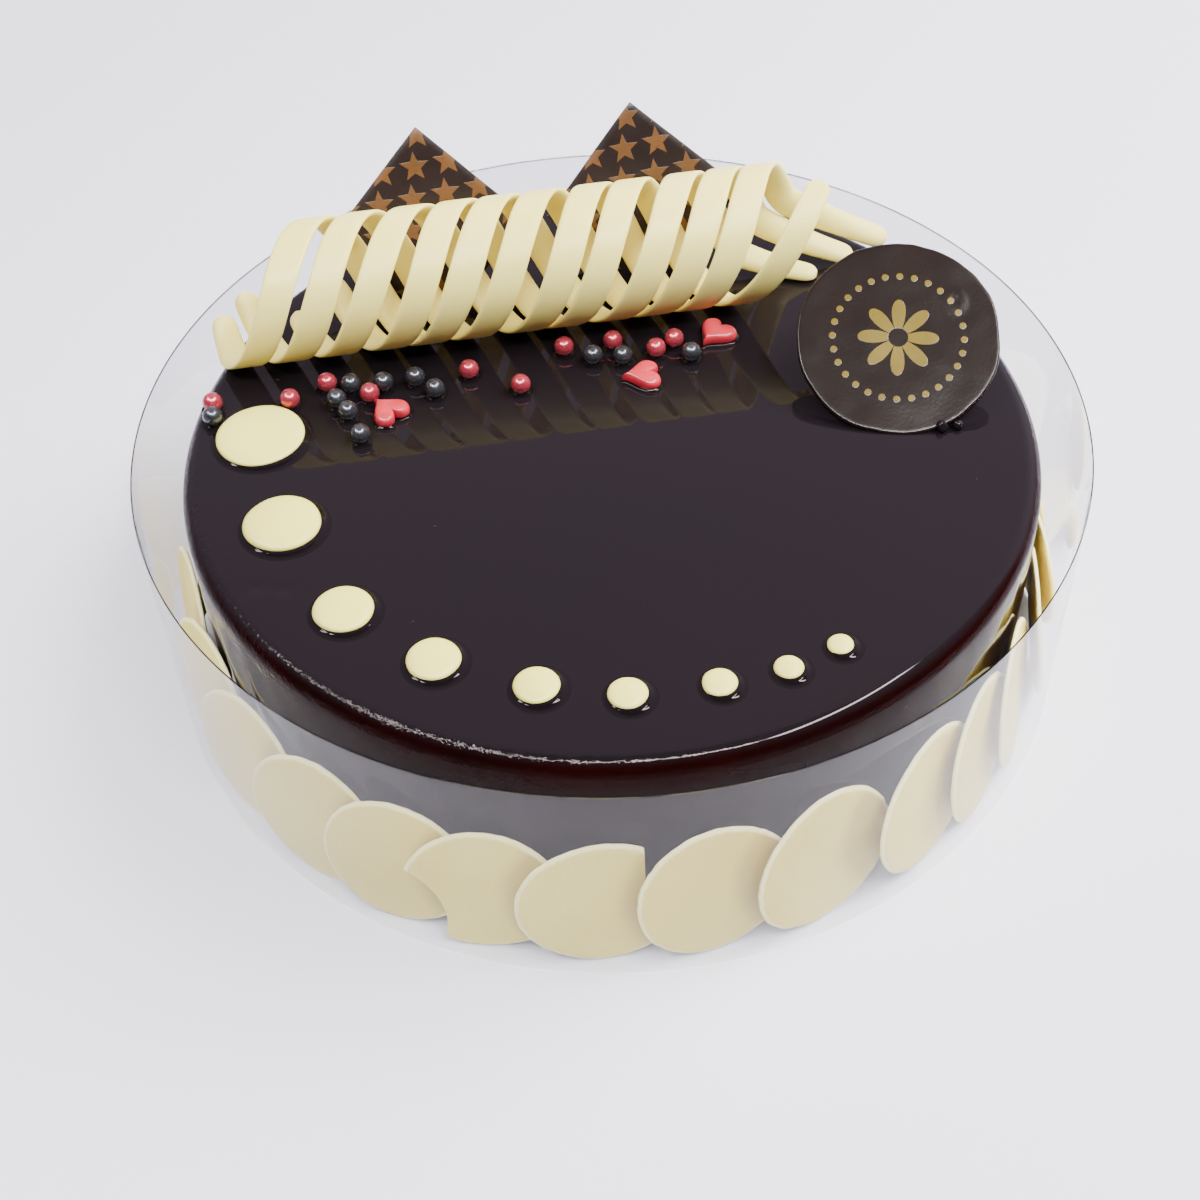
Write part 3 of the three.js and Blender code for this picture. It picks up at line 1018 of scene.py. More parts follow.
@dataclass(frozen=True)
class ChocolateCurl:
    """The curl: four ribbons piped side by side on a sheet and rolled up together."""

    radius: float = 17.0
    axis_y: float = 46.5
    axis_z: float = 76.6
    pitch: float = 45.3
    width: float = 7.8
    depth: float = 2.4
    start_span: float = 60.0
    reach_power: float = 1.2
    taper: float = 0.25
    step: float = 2.1
    round_end: float = 2.7
    strands: tuple[Strand, ...] = (
        Strand((-77.5, -32.7, 13.8), -130, 984, -4.5, 16, 36, 0),
        Strand((-66.5, -21.7, 23.9), -148, 968, -1.5, 18.5, 46, 0.3),
        Strand((-55.2, -8.4, 33.1), -125, 955, 0, 21, 48, 1),
        Strand((-42.4, 1.4, 45.2), -150, 795, 0, 6, 110, 0),
    )
    section: tuple[tuple[float, float], ...] = (
        (-0.80, 0.0), (0.0, 0.0), (0.80, 0.0), (0.97, 0.10), (1.0, 0.30), (0.86, 0.62),
        (0.50, 0.92), (0.0, 1.0), (-0.50, 0.92), (-0.86, 0.62), (-1.0, 0.30), (-0.97, 0.10),
    )

    def front(self, strand: Strand, turn: float) -> float:
        """Gives X where a strand crosses the front for the turn-th time, turn being any number.

        Args:
            strand: the ribbon.
            turn: the turn, from 0.

        Returns:
            X in millimetres.
        """
        first, second, third = strand.fronts
        inside = min(max(turn, 0.0), 2.0)
        bend = (third - 2 * second + first) / 2
        return first + (second - first - bend) * inside + bend * inside**2 + self.pitch * (turn - inside)

    def at_start(self, strand: Strand, angle: float) -> float:
        """Gives how far into the first stretch an angle is, 1 at the strand's very start."""
        return max(0.0, 1 - (angle - strand.first) / self.start_span) ** self.reach_power

    def at_end(self, strand: Strand, angle: float) -> float:
        """Gives how far into the last stretch an angle is, 1 at the strand's very end."""
        return max(0.0, 1 - (strand.last - angle) / strand.end_span) ** self.reach_power

    def point(self, strand: Strand, angle: float) -> Vector:
        """Gives the middle of a strand's outer face at an angle, in millimetres.

        Args:
            strand: the ribbon.
            angle: the angle along it, in degrees.

        Returns:
            The point.
        """
        turned = math.radians(angle)
        radius = self.radius + self.at_end(strand, angle) * strand.flare
        reach = self.at_end(strand, angle) * strand.end_reach
        reach -= self.at_start(strand, angle) * strand.start_reach
        return Vector((
            self.front(strand, angle / 360) + reach,
            self.axis_y - radius * math.cos(turned),
            self.axis_z + radius * math.sin(turned),
        ))

    def station(self, strand: Strand, angle: float) -> Matrix:
        """Gives the frame of a ribbon's section at an angle: across, inwards, along, and its place.

        Args:
            strand: the ribbon.
            angle: the angle along it, in degrees.

        Returns:
            The frame as a matrix.
        """
        turned = math.radians(angle)
        inwards = Vector((0, math.cos(turned), -math.sin(turned)))
        after = self.point(strand, min(angle + 0.5, strand.last))
        along = after - self.point(strand, max(angle - 0.5, strand.first))
        across = along.cross(inwards).normalized()
        along = inwards.cross(across)
        axes = Matrix((across, inwards, along)).transposed().to_4x4()
        return Matrix.Translation(self.point(strand, angle)) @ axes

    def angles(self, strand: Strand) -> list[tuple[float, float]]:
        """Gives a strand's stations as their angles and their distance from its nearer end.

        Args:
            strand: the ribbon.

        Returns:
            For each station its angle in degrees and its distance in millimetres.
        """
        fine = [strand.first + (strand.last - strand.first) * n / 2000 for n in range(2001)]
        lengths = [0.0]
        for before, after in zip(fine, fine[1:]):
            lengths.append(lengths[-1] + (self.point(strand, after) - self.point(strand, before)).length)
        total = lengths[-1]
        caps = [self.round_end * share for share in (0.0, 0.08, 0.25, 0.55, 1.0)]
        count = round((total - 2 * self.round_end) / self.step)
        middle = [self.round_end + (total - 2 * self.round_end) * n / count for n in range(1, count)]
        wanted = caps + middle + [total - cap for cap in reversed(caps)]
        stations = []
        index = 0
        for length in wanted:
            while index < len(lengths) - 2 and lengths[index + 1] < length:
                index += 1
            share = (length - lengths[index]) / (lengths[index + 1] - lengths[index])
            angle = fine[index] + share * (fine[index + 1] - fine[index])
            stations.append((angle, min(length, total - length)))
        return stations

    def breadth(self, strand: Strand, angle: float, from_end: float, number: int) -> float:
        """Gives a ribbon's half width at a station, in millimetres.

        Args:
            strand: the ribbon.
            angle: the angle along it, in degrees.
            from_end: how far the nearer end is, in millimetres.
            number: the ribbon's number.

        Returns:
            The half width.
        """
        near_end = max(self.at_start(strand, angle), self.at_end(strand, angle))
        half = self.width / 2 * (1 - self.taper * near_end)
        half += wobble(self.point(strand, angle), 16.0, 0.22, 7.0 * number)
        corner = max(0.0, 1 - from_end / self.round_end)
        return half - self.round_end * (1 - math.sqrt(1 - corner**2))

    def ribbon(self, number: int, strand: Strand) -> Piece:
        """Models one ribbon: its section is extruded from station to station.

        Args:
            number: the strand's number, which makes its unevenness its own.
            strand: its course.

        Returns:
            The ribbon, in millimetres.
        """
        stations = [
            (self.station(strand, angle), self.breadth(strand, angle, from_end, number), from_end)
            for angle, from_end in self.angles(strand)
        ]
        piece = start(
            bpy.ops.mesh.primitive_circle_add, vertices=len(self.section), radius=1.0, fill_type="NGON"
        )
        for corner, (across, inwards) in zip(piece.data.vertices, self.section):
            corner.co = (across, inwards, 0)
        with editing(piece):
            bpy.ops.mesh.select_all(action="SELECT")
            held = Matrix.Identity(4)
            for order, (frame_at, half, from_end) in enumerate(stations):
                thin = 1 - 0.35 * max(0.0, 1 - from_end / self.round_end) ** 2
                carried = frame_at @ Matrix.Diagonal((half, self.depth * thin, 1, 1))
                if order:
                    bpy.ops.mesh.extrude_region_move()
                change = carried @ held.inverted()
                move_selected(piece, lambda point: change @ point)
                held = carried
        tighten(piece)
        return piece

    def make(self) -> None:
        """Models and dresses the four ribbons."""
        for number, strand in enumerate(self.strands, start=1):
            piece = self.ribbon(number, strand)
            round_off(piece, 1)
            reshape(piece, lambda point: point * MM)
            settle(
                piece, f"curl_ribbon_{number}", RIBBON_FINISH.material(),
                [f"curl_strand_{number}"], sharp=60,
            )


@dataclass(frozen=True)
class StandingPlate:
    """Where a flat plate stands in the glaze: its lean back from upright, its turn and its place."""

    lean: float
    yaw: float
    at: tuple[float, float, float]
    roll: float = 0.0

    def stand(self, piece: Piece, hang: float) -> None:
        """Puts a plate that lies round the origin in the XZ plane in its place.

        Args:
            piece: the plate, with its face towards -Y.
            hang: how far its middle is above the point that the place names, in metres.
        """
        place = (
            Matrix.Translation(Vector(self.at) * MM)
            @ Matrix.Rotation(math.radians(self.yaw), 4, "Z")
            @ Matrix.Rotation(-math.radians(self.lean), 4, "X")
            @ Matrix.Rotation(-math.radians(self.roll), 4, "Y")
            @ Matrix.Translation((0, 0, hang))
        )
        piece.data.transform(place)


def lay_out_print(piece: Piece, origin: tuple[float, float] = (0.0, 0.0)) -> None:
    """Gives a plate the UV map of its face, in millimetres, with all but the face far off the print.

    Args:
        piece: the plate, round the origin in the XZ plane with its face towards -Y.
        origin: where the print's own origin lies on the face, in millimetres from its middle.
    """
    flat = piece.data.uv_layers.new(name="flat")
    aside = -1000.0
    for face in piece.data.polygons:
        front = face.normal.y < -0.7
        for loop in face.loop_indices:
            point = piece.data.vertices[piece.data.loops[loop].vertex_index].co
            place = Vector((point.x, point.z)) / MM - Vector(origin)
            flat.data[loop].uv = place if front else (aside, 0)


@dataclass(frozen=True)
class StarSquares:
    """The two printed squares, each standing on a corner."""

    side: float = 36.0
    depth: float = 1.8
    lean: float = 33.0
    peaks: tuple[tuple[float, float, float], ...] = ((-34.5, 85.4, 94), (21, 85.4, 94))
    yaws: tuple[float, ...] = (-2.0, -10.5)
    rolls: tuple[float, ...] = (1.0, 7.5)
    first_stars: tuple[tuple[float, float], ...] = ((-1.47, 15.58), (-3.08, 13.99))

    def plate(self, number: int) -> Piece:
        """Models one square, standing on its corner round the origin.

        Args:
            number: which square, from 1.

        Returns:
            The square.
        """
        sizes = (self.side * MM, self.depth * MM, self.side * MM)
        piece = start(bpy.ops.mesh.primitive_cube_add, size=1, scale=sizes)
        bpy.ops.object.transform_apply(scale=True)
        with editing(piece):
            pick(piece, Select.EDGES, lambda e: True)
            bpy.ops.mesh.bevel(offset=0.3 * MM, segments=2, profile=0.6)
            pick(piece, Select.EDGES, lambda e: e.calc_length() > self.side * MM / 2)
            bpy.ops.mesh.subdivide(number_cuts=23)
        corner = Matrix.Rotation(math.pi / 4, 4, "Y")
        piece.data.transform(corner)
        reshape(piece, lambda point: point + Vector((
            wobble(point, 0.011, 0.16 * MM, number), wobble(point, 0.02, 0.12 * MM, number + 5), 0,
        )))
        return piece

    def make(self) -> None:
        """Models, prints and stands both squares."""
        for number, peak in enumerate(self.peaks, start=1):
            piece = self.plate(number)
            lay_out_print(piece, self.first_stars[number - 1])
            plate = StandingPlate(self.lean, self.yaws[number - 1], peak, self.rolls[number - 1])
            plate.stand(piece, -self.side / math.sqrt(2) * MM)
            settle(
                piece, f"printed_square_{number}", STAR_FINISH.material(),
                [f"star_square_{number}"], sharp=40,
            )


@dataclass(frozen=True)
class Plaque:
    """The round plaque, with a bubble and soft dents in its face, an uneven rim and glaze at its foot."""

    diameter: float = 48.4
    depth: float = 2.2
    lean: float = 60.0
    yaw: float = -14.7
    foot: tuple[float, float, float] = (66, -14.3, 58.4)
    bubble: tuple[float, float] = (13.2, 9.8)
    bubble_radius: float = 2.0
    blobs: tuple[tuple[float, float, float], ...] = ((76.9, -15.3, 1.5), (80.9, -15.4, 1.25))

    def face(self) -> Piece:
        """Models the plaque round the origin: a drum with its rims rounded and its faces as grids."""
        radius = self.diameter / 2 * MM
        piece = start(
            bpy.ops.mesh.primitive_cylinder_add, vertices=160, radius=radius, depth=self.depth * MM
        )
        with editing(piece):
            pick(piece, Select.EDGES, lambda e: abs(e.verts[0].co.z - e.verts[1].co.z) < 1e-6)
            bpy.ops.mesh.bevel(offset=0.55 * MM, segments=4, profile=0.5)
            for level in (1, -1):
                pick(piece, Select.FACES, lambda f: f.normal.z * level > 0.99 and len(f.verts) > 8)
                bpy.ops.mesh.inset(thickness=0.6 * MM)
                bpy.ops.mesh.delete(type="ONLY_FACE")
                pick(piece, Select.EDGES, lambda e: e.is_boundary)
                bpy.ops.mesh.fill_grid(span=40)
        tighten(piece)
        piece.data.transform(Matrix.Rotation(math.pi / 2, 4, "X"))
        reshape(piece, self.pressed)
        return piece

    def pressed(self, point: Vector) -> Vector:
        """Gives a corner its place in the uneven plaque.

        Args:
            point: the corner on the plain plaque, in metres.

        Returns:
            Its place.
        """
        middle = Vector((point.x, 0, point.z))
        far = middle.length / (self.diameter / 2 * MM)
        uneven = wobble(middle, 0.010, 0.5 * MM, 2.0) + wobble(middle, 0.004, 0.2 * MM)
        rim = middle.normalized() * uneven * far**4
        dent = wobble(middle, 0.013, 0.20 * MM, 9.0) + wobble(middle, 0.005, 0.05 * MM, 3.0)
        near = (Vector((point.x, point.z)) / MM - Vector(self.bubble)).length
        if point.y < 0:
            dent -= 0.22 * MM * math.exp(-(((near - self.bubble_radius) / 0.6) ** 2))
        return point + rim + Vector((0, dent, 0))

    def make(self) -> None:
        """Models, prints and stands the plaque."""
        piece = self.face()
        lay_out_print(piece)
        StandingPlate(self.lean, self.yaw, self.foot).stand(piece, self.diameter / 2 * MM)
        settle(piece, "round_plaque", PLAQUE_FINISH.material(), ["plaque"], sharp=60)
        self.glaze_blobs()

    def glaze_blobs(self) -> None:
        """Models the small blobs of glaze that stand where the plaque went in."""
        blobs = []
        for number, (x, y, radius) in enumerate(self.blobs):
            blob = start(
                bpy.ops.mesh.primitive_uv_sphere_add, segments=32, ring_count=20, radius=radius * MM,
                location=(x * MM, y * MM, self.foot[2] * MM + 1.1 * radius * MM),
            )
            reshape(blob, lambda point: point * (1 + wobble(point, 1.6 * MM, 0.3, 4.0 * number)))
            blobs.append(blob)
        settle(joined(blobs), "glaze_blobs", MirrorGlaze().material(), ["cake"], sharp=180)


@dataclass(frozen=True)
class ChocolateDrops:
    """The nine white drops, each with a thin rim and a low peak."""

    count: int = 9
    steps: int = 56
    flat_over: float = 20 * MM

    def profile(self, radius: float, height: float) -> list[tuple[float, float]]:
        """Gives a drop's turned outline, from its underside to its peak.

        Args:
            radius: the drop's radius.
            height: the drop's height.

        Returns:
            The (radius, height) points, in the same unit.
        """
        if 2 * radius > self.flat_over:
            shares = [(0, 0), (0.9, 0), (0.975, 0.1), (1, 0.3), (0.99, 0.5), (0.95, 0.66), (0.86, 0.80),
                      (0.7, 0.9), (0.5, 0.95), (0.3, 0.97), (0.15, 0.99), (0, 1)]
        else:
            shares = [(0, 0), (0.9, 0), (0.975, 0.08), (1, 0.22), (0.985, 0.36), (0.93, 0.5), (0.82, 0.64),
                      (0.66, 0.76), (0.48, 0.84), (0.34, 0.89), (0.22, 0.93), (0.12, 0.97),
                      (0.05, 0.995), (0, 1)]
        return [(radius * across, height * up) for across, up in shares]

    def make(self) -> None:
        """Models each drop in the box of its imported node."""
        for number in range(1, self.count + 1):
            low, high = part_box(f"drop_{number}")
            middle = (low + high) / 2
            radius = (high.x - low.x + high.y - low.y) / 4
            height = high.z - low.z
            piece = spun(self.profile(radius, height), self.steps)
            peak = Vector((0.02 * radius, 0.13 * radius, 0))

            def poured(point: Vector) -> Vector:
                """Gives a corner its place in a drop whose outline and peak are a little off."""
                flat = Vector((point.x, point.y, 0))
                swell = 1 + wobble(flat, 0.9 * radius, 0.035, 2.3 * number)
                return Vector((point.x * swell, point.y * swell, point.z)) + peak * (point.z / height) ** 3

            reshape(piece, poured)
            piece.location = (middle.x, middle.y, low.z - 0.3 * MM)
            settle(
                piece, f"chocolate_drop_{number}", DROP_FINISH.material(),
                [f"drop_{number}"], sharp=75,
            )


@dataclass(frozen=True)
class SugarHearts:
    """The three puffy hearts, by the places of their middles and the directions of their tips."""

    places: tuple[tuple[float, float, float], ...] = ((-51.4, 16.6, 125), (11, 17, 178), (32, 29.4, -140))
    height: float = 3.0
    half_width: float = 4.45
    base: float = 59.0
    corners: int = 72

    def outline(self, share: float) -> Vector:
        """Gives a point of the heart's outline, its tip at share 0 and towards +X.

        Args:
            share: how far round it is, from 0 to 1.

        Returns:
            The point, in millimetres.
        """
        angle = 2 * math.pi * share
        across = self.half_width * math.sin(angle) ** 3 * 1.06
        along = 13 * math.cos(angle) - 5 * math.cos(2 * angle) - 2 * math.cos(3 * angle) - math.cos(4 * angle)
        return Vector((-(along * 0.315 + 0.55), across, 0))

    def heart(self) -> Piece:
        """Models one heart, flat below and rounded above, in millimetres."""
        piece = start(
            bpy.ops.mesh.primitive_circle_add, vertices=self.corners, radius=1, fill_type="NGON"
        )
        for number, corner in enumerate(piece.data.vertices):
            corner.co = self.outline((number + 0.5) / self.corners)
        steps = ((0.96, 0.0), (1.0, 0.18), (1.02, 0.42), (1.0, 0.62), (0.94, 0.80), (0.83, 0.92),
                 (0.66, 0.98), (0.4, 1.0), (0.15, 1.0))
        with editing(piece):
            bpy.ops.mesh.select_all(action="SELECT")
            size, level = 1.0, 0.0
            for number, (next_size, next_level) in enumerate(steps):
                if number:
                    bpy.ops.mesh.extrude_region_move()
                ratio = next_size / size
                rise = (next_level - level) * self.height
                move_selected(piece, lambda point: Vector((point.x * ratio, point.y * ratio, point.z + rise)))
                size, level = next_size, next_level
        tighten(piece)
        round_off(piece, 1)
        return piece

    def make(self) -> None:
        """Models the heart once and lays a copy at each place."""
        model = self.heart()
        for number, (x, y, tip) in enumerate(self.places, start=1):
            piece = copied(model)
            reshape(piece, lambda point: (point + Vector((0, 0, wobble(point, 3.0, 0.15, number)))) * MM)
            piece.location = (x * MM, y * MM, self.base * MM)
            piece.rotation_euler.z = math.radians(tip)
            settle(
                piece, f"sugar_heart_{number}", HeartSugar().material(),
                [f"heart_{number}"], sharp=180,
            )
        bpy.data.objects.remove(model)


@dataclass(frozen=True)
class SideDiscs:
    """The thin white discs that lap round the side, spread by hand and so uneven."""

    count: int = 28
    diameter: float = 36.0
    depth: float = 1.1
    first: float = -165.2
    shifts: tuple[float, ...] = (0, 0, 0.8, 0.2, -1.5, -0.4, 0.2, 1.2, 4, 2.2, -0.6)
    size_drift: float = 0.8
    size_cycle: float = 9.0
    foot_radius: float = 108.0
    foot: float = 0.3
    lean: float = 7.5
    turn: float = 9.0
    oval: float = 0.018
    lobes: float = 0.012
    bitten: int = 4
    bite_radius: float = 17.6
    bite_centre: tuple[float, float] = (-25.9, 7.3)
    trimmed: int = 5
    trim_corner: tuple[float, float] = (9.8, 15.0)
    corners: int = 96

    def azimuth(self, index: int) -> float:
        """Gives where a disc stands, in degrees about the cake's axis."""
        return self.first + 360 / self.count * index + self.shifts[index % len(self.shifts)]

    def radius(self, index: int, angle: float) -> float:
        """Gives a disc's radius in a direction, in millimetres.

        Args:
            index: which disc, from 0.
            angle: the direction, in radians.

        Returns:
            The radius.
        """
        diameter = self.diameter - self.size_drift * math.cos(2 * math.pi * (index - 2.5) / self.size_cycle)
        wave = self.oval * math.sin(2 * angle + 1.7 * index) + self.lobes * math.sin(3 * angle + 2.3 * index)
        return diameter / 2 * (1 + wave)

    def blank(self) -> Piece:
        """Models a round plate of radius 1 and depth 1 in rings, ready to be spread."""
        piece = start(bpy.ops.mesh.primitive_circle_add, vertices=self.corners, radius=1, fill_type="NGON")
        with editing(piece):
            bpy.ops.mesh.select_all(action="SELECT")
            for ring in (0.035, 0.06, 0.13, 0.2, 0.22, 0.2):
                bpy.ops.mesh.inset(thickness=ring)
            bpy.ops.mesh.poke()
            bpy.ops.mesh.select_all(action="SELECT")
            bpy.ops.mesh.extrude_region_move(TRANSFORM_OT_translate={"value": (0, 0, 1)})
        tighten(piece)
        flat = piece.data.uv_layers.new(name="flat")
        for loop in piece.data.loops:
            flat.data[loop.index].uv = piece.data.vertices[loop.vertex_index].co.xy
        return piece

    def spread(self, index: int) -> Callable[[Vector], Vector]:
        """Gives the place of a blank's corner in one disc, which stands on the X axis, in millimetres.

        Args:
            index: which disc, from 0.

        Returns:
            The function that places a corner.
        """
        lowest = min(
            self.radius(index, angle) * math.sin(angle)
            for angle in (2 * math.pi * n / self.corners for n in range(self.corners))
        )

        def place(point: Vector) -> Vector:
            """Spreads one corner."""
            share = min(1.0, math.hypot(point.x, point.y))
            angle = math.atan2(point.y, point.x)
            ragged = Vector((math.cos(angle), math.sin(angle), 2.0 * index))
            rough = 0.012 * noise.noise(ragged * 7.0) + 0.009 * noise.noise(ragged * 19.0)
            radius = self.radius(index, angle) * share * (1 + share**6 * rough)
            across, up = radius * math.cos(angle), radius * math.sin(angle)
            face = 1 if point.z > 0.5 else -1
            thin = 1 - 0.55 * max(0.0, (share - 0.965) / 0.035) ** 2
            flat = Vector((across, up, 3.0 * index))
            swell = 0.10 * noise.noise(flat / 7.0) + 0.04 * noise.noise(flat / 2.2)
            return Vector((across, -face * (self.depth / 2 * thin) + swell, up - lowest))

        return place

    def cut(self, piece: Piece, index: int) -> None:
        """Takes the bite out of one disc and the corner off another.

        Args:
            piece: the disc, in millimetres.
            index: which disc it is, from 0.
        """
        if index == self.bitten:
            tool = start(
                bpy.ops.mesh.primitive_cylinder_add, vertices=72, radius=self.bite_radius, depth=10,
                location=(self.bite_centre[0], 0, self.bite_centre[1]), rotation=(math.pi / 2, 0, 0),
            )
        elif index == self.trimmed:
            half = self.diameter / 2
            tool = start(
                bpy.ops.mesh.primitive_cube_add, size=2 * half,
                location=(self.trim_corner[0] + half, 0, self.trim_corner[1] + half),
            )
        else:
            return
        modify(piece, "BOOLEAN", operation="DIFFERENCE", solver="EXACT", object=tool)
        bpy.data.objects.remove(tool)

    def make(self) -> None:
        """Models the blank once, and spreads, cuts and stands each disc."""
        blank = self.blank()
        for index in range(self.count):
            piece = copied(blank)
            reshape(piece, self.spread(index))
            tighten(piece)
            self.cut(piece, index)
            azimuth = math.radians(self.azimuth(index))
            x, y = self.foot_radius * math.cos(azimuth), self.foot_radius * math.sin(azimuth)
            stand = (
                Matrix.Translation((x, y, self.foot))
                @ Matrix.Rotation(azimuth + math.pi / 2 + math.radians(self.turn), 4, "Z")
                @ Matrix.Rotation(-math.radians(self.lean), 4, "X")
            )
            piece.data.transform(Matrix.Scale(MM, 4) @ stand)
            settle(
                piece, f"white_disc_{index + 1}", DISC_FINISH.material(),
                [f"side_disc_{index + 1}"], sharp=35,
            )
        bpy.data.objects.remove(blank)


@dataclass(frozen=True)
class Collar:
    """The clear film collar."""

    wall: float = 0.3 * MM
    steps: int = 288

    def make(self) -> None:
        """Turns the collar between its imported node's outer face and foot."""
        low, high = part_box("collar")
        radius = high.x
        rim = 0.05 * MM
        profile = [
            (radius - self.wall, low.z), (radius, low.z), (radius, high.z - rim),
            (radius - rim, high.z), (radius - self.wall + rim, high.z), (radius - self.wall, high.z - rim),
            (radius - self.wall, low.z),
        ]
        film = spun(profile, self.steps)
        settle(film, "film_collar", ClearFilm().material(), ["collar"], sharp=30)


@dataclass(frozen=True)
class GlazeMenisci:
    """The glaze that climbs a little round all that lies in it: a low hollow slope round each topping.

    Each slope is given by its reach, its climb and its spread. A drop's reach is counted past its rim.
    Its slope runs a little to the front, so that its painted shade, a darker glaze, lies mostly on the front
    side.
    """

    sunk: float = 0.3
    curve: float = 2.0
    steps: int = 6
    sides: int = 44
    # Shift of each drop's slope to the front, where its painted shade is to lie.
    run: tuple[float, float, float] = (0.45, -0.6, 0)
    at_pearl: tuple[float, float, float] = (1.75, 0.40, 1.3)
    at_heart: tuple[float, float, float] = (4.3, 0.60, 1.1)
    at_drop: tuple[float, float, float] = (-0.15, 0.62, 1.9)

    def slope(self, reach: float, climb: float, spread: float) -> list[tuple[float, float]]:
        """Gives the slope's outline from its outer rim to the topping, in millimetres."""
        shares = [step / self.steps for step in range(self.steps, -1, -1)]
        return [(reach + spread * share, climb * (1 - share) ** self.curve) for share in shares]

    def round_slope(self, place: Vector, reach: float, climb: float, spread: float) -> Piece:
        """Turns the slope round a topping.

        Args:
            place: the topping's middle on the glaze, in metres.
            reach: the topping's radius where the glaze meets it, in millimetres.
            climb: how high the glaze climbs.
            spread: how far out it starts.

        Returns:
            The slope, a low solid that ends inside the topping.
        """
        outline = self.slope(reach, climb, spread)
        closed = [(0, -self.sunk), (reach + spread, -self.sunk), *outline, (0, climb)]
        piece = spun([(radius * MM, height * MM) for radius, height in closed], self.sides)
        piece.location = place
        return piece

    def heart_slope(self, heart: SugarHearts, number: int) -> Piece:
        """Lays the slope along a heart's outline.

        Args:
            heart: the hearts' sizes.
            number: which heart, from 0.

        Returns:
            The slope.
        """
        piece = start(bpy.ops.mesh.primitive_circle_add, vertices=heart.corners, radius=1, fill_type="NGON")
        for share, corner in enumerate(piece.data.vertices):
            corner.co = heart.outline((share + 0.5) / heart.corners) * MM
        with editing(piece):
            bpy.ops.mesh.select_all(action="SELECT")
            size, level = 1.0, 0.0
            outline = self.slope(*self.at_heart)
            for order, (reach, height) in enumerate([(outline[0][0], -self.sunk), *outline]):
                if order:
                    bpy.ops.mesh.extrude_region_move()
                ratio = reach / heart.half_width / size
                rise = (height - level) * MM
                move_selected(piece, lambda point: Vector((point.x * ratio, point.y * ratio, point.z + rise)))
                size, level = reach / heart.half_width, height
        tighten(piece)
        x, y, tip = heart.places[number]
        piece.location = (x * MM, y * MM, heart.base * MM)
        piece.rotation_euler.z = math.radians(tip)
        return piece

    def make(
        self, cake: GlazedCake, pearls: Sequence[Pearls], drops: ChocolateDrops, hearts: SugarHearts
    ) -> None:
        """Models the slopes round every pearl, drop and heart, as one piece.

        Args:
            cake: the glaze that they rise from.
            pearls: the pearls, of each colour.
            drops: the drops.
            hearts: the hearts.
        """
        slopes = [self.heart_slope(hearts, number) for number in range(len(hearts.places))]
        for kind in pearls:
            slopes += [
                self.round_slope(Vector((x * MM, y * MM, cake.surface(x * MM, y * MM))), *self.at_pearl)
                for x, y in kind.places
            ]
        for number in range(1, drops.count + 1):
            low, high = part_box(f"drop_{number}")
            middle = Vector(((low.x + high.x) / 2, (low.y + high.y) / 2, cake.height))
            reach = (high.x - low.x) / 2 / MM
            past, climb, spread = self.at_drop
            slopes.append(self.round_slope(middle + Vector(self.run) * MM, reach + past, climb, spread))
        # The slopes wear the darker glaze: painted shade.
        settle(joined(slopes), "glaze_menisci", PAINTED_SHADE_SLOPE.material(), ["cake"], sharp=80)


class SoftBox(Enum):
    """The studio's lamps: width and depth, power, azimuth and height over the horizon, and distance.

    Azimuths are in degrees from +X. The strips stand in an arc behind the camera, with glints before
    them that only glossy surfaces see. The fill is not seen in gloss.
    """

    FILL = (0.6, 0.6, 30.0, 12, 44, 1.05)
    STRIP_SIDE = (0.70, 0.14, 7.0, 177, 51, 1.5)
    STRIP_LEFT = (0.80, 0.14, 12.0, -148, 60, 1.5)
    STRIP_MIDDLE = (0.86, 0.14, 17.0, -86, 62, 1.5)
    STRIP_RIGHT = (0.86, 0.14, 21.0, -22, 60, 1.5)
    GLINT_SIDE = (0.66, 0.10, 6.0, 177, 51, 1.45)
    GLINT_LEFT = (0.77, 0.10, 9.0, -148, 60, 1.45)
    GLINT_MIDDLE = (0.83, 0.10, 13.0, -86, 62, 1.45)
    GLINT_RIGHT = (0.83, 0.10, 13.0, -22, 60, 1.45)


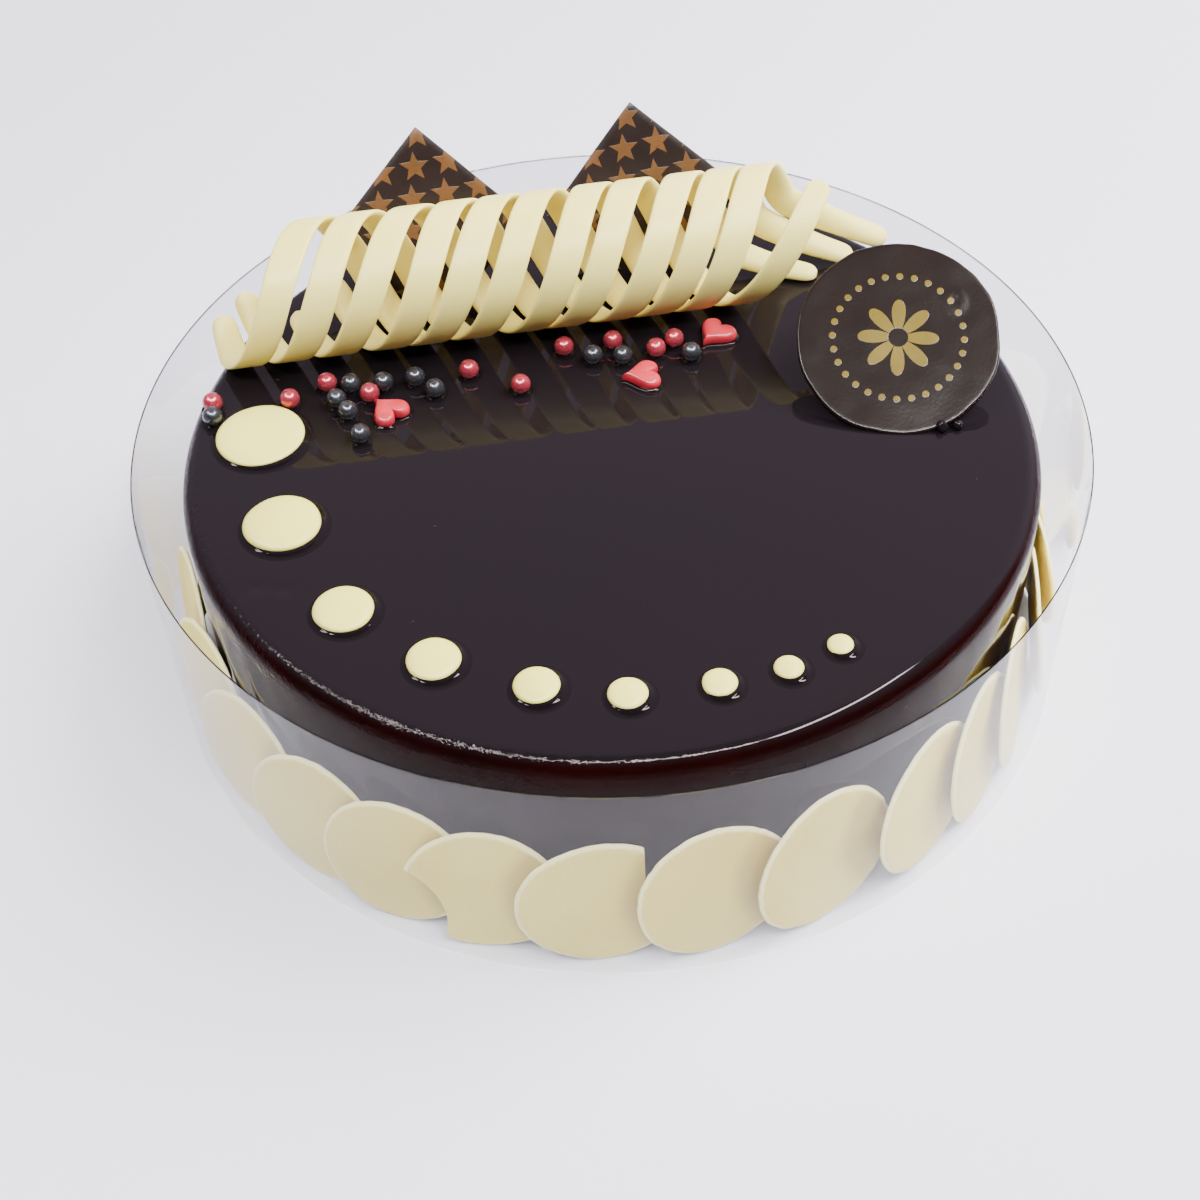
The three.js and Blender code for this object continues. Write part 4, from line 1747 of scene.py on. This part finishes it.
@dataclass(frozen=True)
class Studio:
    """A plain pale floor, soft light, and the camera at the photograph's angle."""

    floor: float = 8.0
    swing: float = 8.783
    back: float = 0.32343
    eye: float = 0.34231
    heading: float = -0.687
    pitch: float = 46.573
    roll: float = -2.260
    lens: float = 54.0
    wall_left: Color = (0.86, 0.75, 0.92, 1)
    wall_right: Color = (1.40, 1.21, 1.47, 1)
    behind: Color = (0.10, 0.10, 0.11, 1)
    behind_from: float = 0.20
    behind_all: float = 0.12
    target: tuple[float, float, float] = (0, 0, 0.05)

    def camera(self) -> None:
        """Places the camera: it stands back from the cake, looks down on it and is slightly rolled."""
        swing = math.radians(self.swing)
        heading = swing + math.radians(self.heading)
        pitch, roll = math.radians(self.pitch), math.radians(self.roll)
        level = math.cos(pitch)
        ahead = Vector((math.sin(heading) * level, math.cos(heading) * level, -math.sin(pitch)))
        right = Vector((math.cos(heading), -math.sin(heading), 0))
        up = right.cross(ahead)
        rolled_right = math.cos(roll) * right + math.sin(roll) * up
        rolled_up = -math.sin(roll) * right + math.cos(roll) * up
        data = bpy.data.cameras.new("photo_camera")
        data.lens = self.lens
        data.sensor_width = 36.0
        camera = bpy.data.objects.new("photo_camera", data)
        bpy.context.collection.objects.link(camera)
        place = Vector((-self.back * math.sin(swing), -self.back * math.cos(swing), self.eye))
        axes = Matrix((rolled_right, rolled_up, -ahead)).transposed().to_4x4()
        camera.matrix_world = Matrix.Translation(place) @ axes
        bpy.context.scene.camera = camera

    def lamps(self) -> None:
        """Hangs the soft boxes."""
        target = Vector(self.target)
        for box in SoftBox:
            width, depth, power, azimuth, rise, distance = box.value
            data = bpy.data.lights.new(box.name.lower(), "AREA")
            data.shape = "RECTANGLE"
            data.size, data.size_y, data.energy = width, depth, power
            light = bpy.data.objects.new(box.name.lower(), data)
            bpy.context.collection.objects.link(light)
            around, up = math.radians(azimuth), math.radians(rise)
            way = Vector((math.cos(around) * math.cos(up), math.sin(around) * math.cos(up), math.sin(up)))
            light.location = target + distance * way
            light.rotation_euler = (-way).to_track_quat("-Z", "Y").to_euler()
            light.visible_glossy = not box.name.startswith("FILL")
            light.visible_diffuse = not box.name.startswith("GLINT")

    def room(self) -> None:
        """Lights the room, brighter towards the right and dark behind the camera."""
        world = bpy.data.worlds.new("soft_room")
        bpy.context.scene.world = world
        world.use_nodes = True
        board = Board(world.node_tree)
        way = board.axes(board.add("TexCoord").outputs["Generated"])
        behind = board.ramp(way["Y"], self.behind_from, self.behind_all)
        wall = board.blend(board.ramp(way["X"], -0.8, 0.8), self.wall_left, self.wall_right)
        color = board.blend(behind, wall, self.behind)
        back = board.add("Background", {"Color": color})
        board.tree.links.new(back.outputs[0], board.add("OutputWorld").inputs["Surface"])

    def make(self) -> None:
        """Lays the floor and sets up light and camera."""
        self.camera()
        self.room()
        self.lamps()
        floor = start(bpy.ops.mesh.primitive_plane_add, size=self.floor, location=(0, 0, -0.2 * MM))
        bpy.ops.object.transform_apply(location=True)
        floor.name = "floor"
        floor.data.materials.append(PalePaper().material())


# ---------- places on the glaze ----------

RED_PEARLS = (
    (-92.9, 27.1), (-74.3, 24.7), (-65, 29.1), (-55.1, 23), (-30.3, 27.1),
    (-18.6, 19), (-6, 31.2), (6.3, 31.2), (16.3, 26.1), (21.4, 28.9),
)
DARK_PEARLS = (
    (-93, 21.9), (-59.3, 27.5), (-63.2, 22.5), (-60.8, 17.5), (-58.5, 8.5), (-51.4, 26.6),
    (-43.6, 26.9), (-39.3, 21.6), (0.5, 26.5), (7.7, 24.9), (24.5, 22.7),
)


def main() -> None:
    """Builds every sub-assembly in order."""
    logging.basicConfig(level=logging.INFO, format="%(message)s")
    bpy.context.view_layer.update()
    Studio().make()
    cake = GlazedCake()
    cake.make()
    pearls = (Pearls("red_pearls", RED_PEARL, RED_PEARLS), Pearls("dark_pearls", DARK_PEARL, DARK_PEARLS))
    for kind in pearls:
        kind.make(cake)
    ChocolateCurl().make()
    StarSquares().make()
    Plaque().make()
    ChocolateDrops().make()
    SugarHearts().make()
    GlazeMenisci().make(cake, pearls, ChocolateDrops(), SugarHearts())
    SideDiscs().make()
    Collar().make()
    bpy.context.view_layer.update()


if __name__ == "__main__":
    main()
